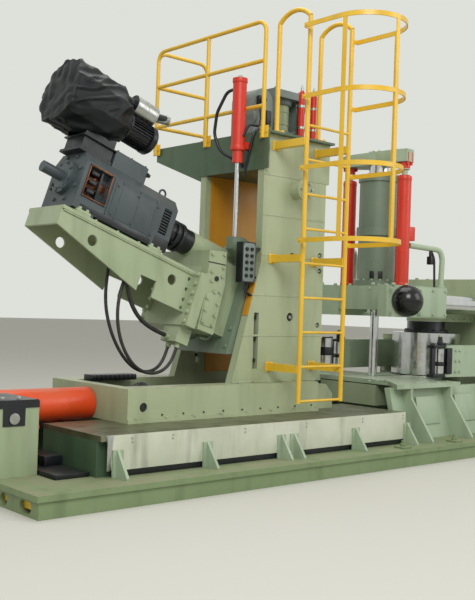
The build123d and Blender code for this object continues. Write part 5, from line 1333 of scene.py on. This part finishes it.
def bed_details():
    """Clamps of the supply pipe; a black box at the bed's left end on a black plate that is partly oil
    and partly painted shade; black strips of painted shadow under the way guards.
    """
    clamps = Drawing()
    floor = reach_of("foundation_side_beams").top
    for x in (-5140, -4960, -4800):
        clamps.block(x, x + 46, -42, 42, 352, 430, 4)
        clamps.bolts(grid(x + 23, (-34, 34), 430), UP, 14)
    for side in SIDES:
        # A black box on a flat black plate; the plate is partly oil and partly painted shade on the
        # foundation round the box
        clamps.block(-5325, -5060, 250 * side, 900 * side, floor, floor + 34, 5)
        clamps.block(-5220, -5070, 250 * side, 560 * side, floor + 34, floor + 106, 8)
        # Painted shadow: thin black strips where the way guards shade the bed beneath them
        clamps.block(-4950, -1662, 1001 * side, 1007 * side, floor + 2, floor + 56, 1)
    clamps.finish("pipe_clamps_box_and_painted_shade", "root", "box_black")


def guide_strips():
    """Yellow strips on the plates' sloping left edges."""
    strips = Drawing()
    for side in SIDES:
        strips.plate([(-3101, 1612), (-3094, 1612), (-3179, 1313), (-3186, 1313)], 1,
                     362 * side, 438 * side, 1)
    strips.finish("guide_strips", "axial_stand", "guide_yellow")


def slot_backs():
    """Yellow blanks at the back of the slots in the foundation's left end."""
    yellow = Drawing()
    for y, half in ((1115, 72), (825, 44.5)):
        for side in SIDES:
            yellow.block(-5640, -5636, y * side - half, y * side + half, 38, 118, 1)
    yellow.finish("slot_backs", "root", "safety_yellow")


def anchor_bolts():
    """Anchor plates, nuts and studs on the foundation beside the radial base."""
    anchors = Drawing()
    floor = reach_of("foundation_side_beams").top
    plate = floor + 16
    for x, side in product(range(-1900, 2101, 800), SIDES):
        anchors.block(x - 60, x + 60, 1130 * side, 1240 * side, floor, plate, 4)
        anchors.bolts([(x, 1185 * side, plate)], UP, 46)
        anchors.post(x, 1185 * side, plate, plate + 54, 17, 20)
    anchors.finish("anchor_bolts", "root", "machine_green", "foundation_green")


head_details()
lift_cylinder_details()
head_valves()
stub_caps()
pull_rod_nuts()
lift_yoke_details()
main_roll_details()
centring_arm_details("near", -1)
centring_arm_details("far", 1)
tracer_details()
table_details()
housing_details()
crosshead_details()
drive_motor_details()
feed_cylinder_details()
guard_screws()
carriage_details()
bed_details()
guide_strips()
slot_backs()
anchor_bolts()


# Camera, floor and light

def camera_matrix():
    """Camera axes: turned from +Y toward +X, tilted up, then rolled clockwise."""
    level = Vector((math.sin(CAMERA_TURN), math.cos(CAMERA_TURN), 0))
    right = Vector((math.cos(CAMERA_TURN), -math.sin(CAMERA_TURN), 0))
    upright = Vector((0, 0, 1))
    forward = level * math.cos(CAMERA_TILT) + upright * math.sin(CAMERA_TILT)
    above = -level * math.sin(CAMERA_TILT) + upright * math.cos(CAMERA_TILT)
    rolled_right = right * math.cos(CAMERA_ROLL) + above * math.sin(CAMERA_ROLL)
    rolled_up = -right * math.sin(CAMERA_ROLL) + above * math.cos(CAMERA_ROLL)
    axes = Matrix((rolled_right, rolled_up, -forward)).transposed()
    return Matrix.Translation(CAMERA_AT) @ axes.to_4x4()


def make_camera():
    """Camera at the photograph's place, with its angle of view."""
    data = bpy.data.cameras.new("camera")
    data.sensor_width = SENSOR_MM      # it spans the frame's longer side
    data.lens = FOCAL_PX / max(FRAME_PX) * SENSOR_MM
    data.clip_end = 200
    camera = bpy.data.objects.new("camera", data)
    camera.matrix_world = camera_matrix()
    bpy.context.scene.collection.objects.link(camera)
    bpy.context.scene.camera = camera


def make_floor():
    """Plain pale floor, wide enough to reach the horizon."""
    reach = 60
    mesh = bpy.data.meshes.new("floor")
    mesh.from_pydata([(-reach, -reach, 0), (reach, -reach, 0), (reach, reach, 0), (-reach, reach, 0)],
                     [], [(0, 1, 2, 3)])
    floor = bpy.data.objects.new("floor", mesh)
    bpy.context.scene.collection.objects.link(floor)
    material, tree, shader = new_finish("pale_floor")
    shader.inputs["Base Color"].default_value = hex_colour("#C9C8BF")
    shader.inputs["Roughness"].default_value = 0.8
    mesh.materials.append(material)


def make_light():
    """Soft boxes over the camera, on its right and over the machine, and an even sky."""
    world = bpy.data.worlds.new("studio")
    bpy.context.scene.world = world
    world.use_nodes = True
    tree = world.node_tree
    tree.nodes.clear()
    sky = add_node(tree, "ShaderNodeBackground", {"Color": hex_colour("#F1F1EC"), "Strength": 0.55})
    seen = add_node(tree, "ShaderNodeBackground", {"Color": hex_colour("#DEE0DA"), "Strength": 1.0})
    # The camera and reflections see a plain backdrop, and the sky lights the rest
    rays = add_node(tree, "ShaderNodeLightPath")
    plain = add_node(tree, "ShaderNodeMath", {
        0: rays.outputs["Is Camera Ray"], 1: rays.outputs["Is Glossy Ray"]}, operation="MAXIMUM")
    blend = add_node(tree, "ShaderNodeMixShader", {
        0: plain.outputs[0], 1: sky.outputs["Background"], 2: seen.outputs["Background"]})
    add_node(tree, "ShaderNodeOutputWorld", {"Surface": blend.outputs["Shader"]})
    boxes = (
        ("key_light", (-8.5, -7.5, 8.0), (-2.5, 0, 1.5), 5.0, 620),
        ("fill_light", (3.5, -9.0, 6.0), (-1.5, 0, 1.5), 6.0, 260),
        ("top_light", (-2.0, 1.0, 10.0), (-2.0, 0, 0), 7.0, 330),
    )
    for name, place, target, size, power in boxes:
        data = bpy.data.lights.new(name, "AREA")
        data.size = size
        data.energy = power
        lamp = bpy.data.objects.new(name, data)
        lamp.location = place
        aim = Vector(target) - Vector(place)
        lamp.rotation_euler = aim.to_track_quat("-Z", "Y").to_euler()
        bpy.context.scene.collection.objects.link(lamp)


make_camera()
make_floor()
make_light()
bpy.context.scene.view_settings.view_transform = "Standard"
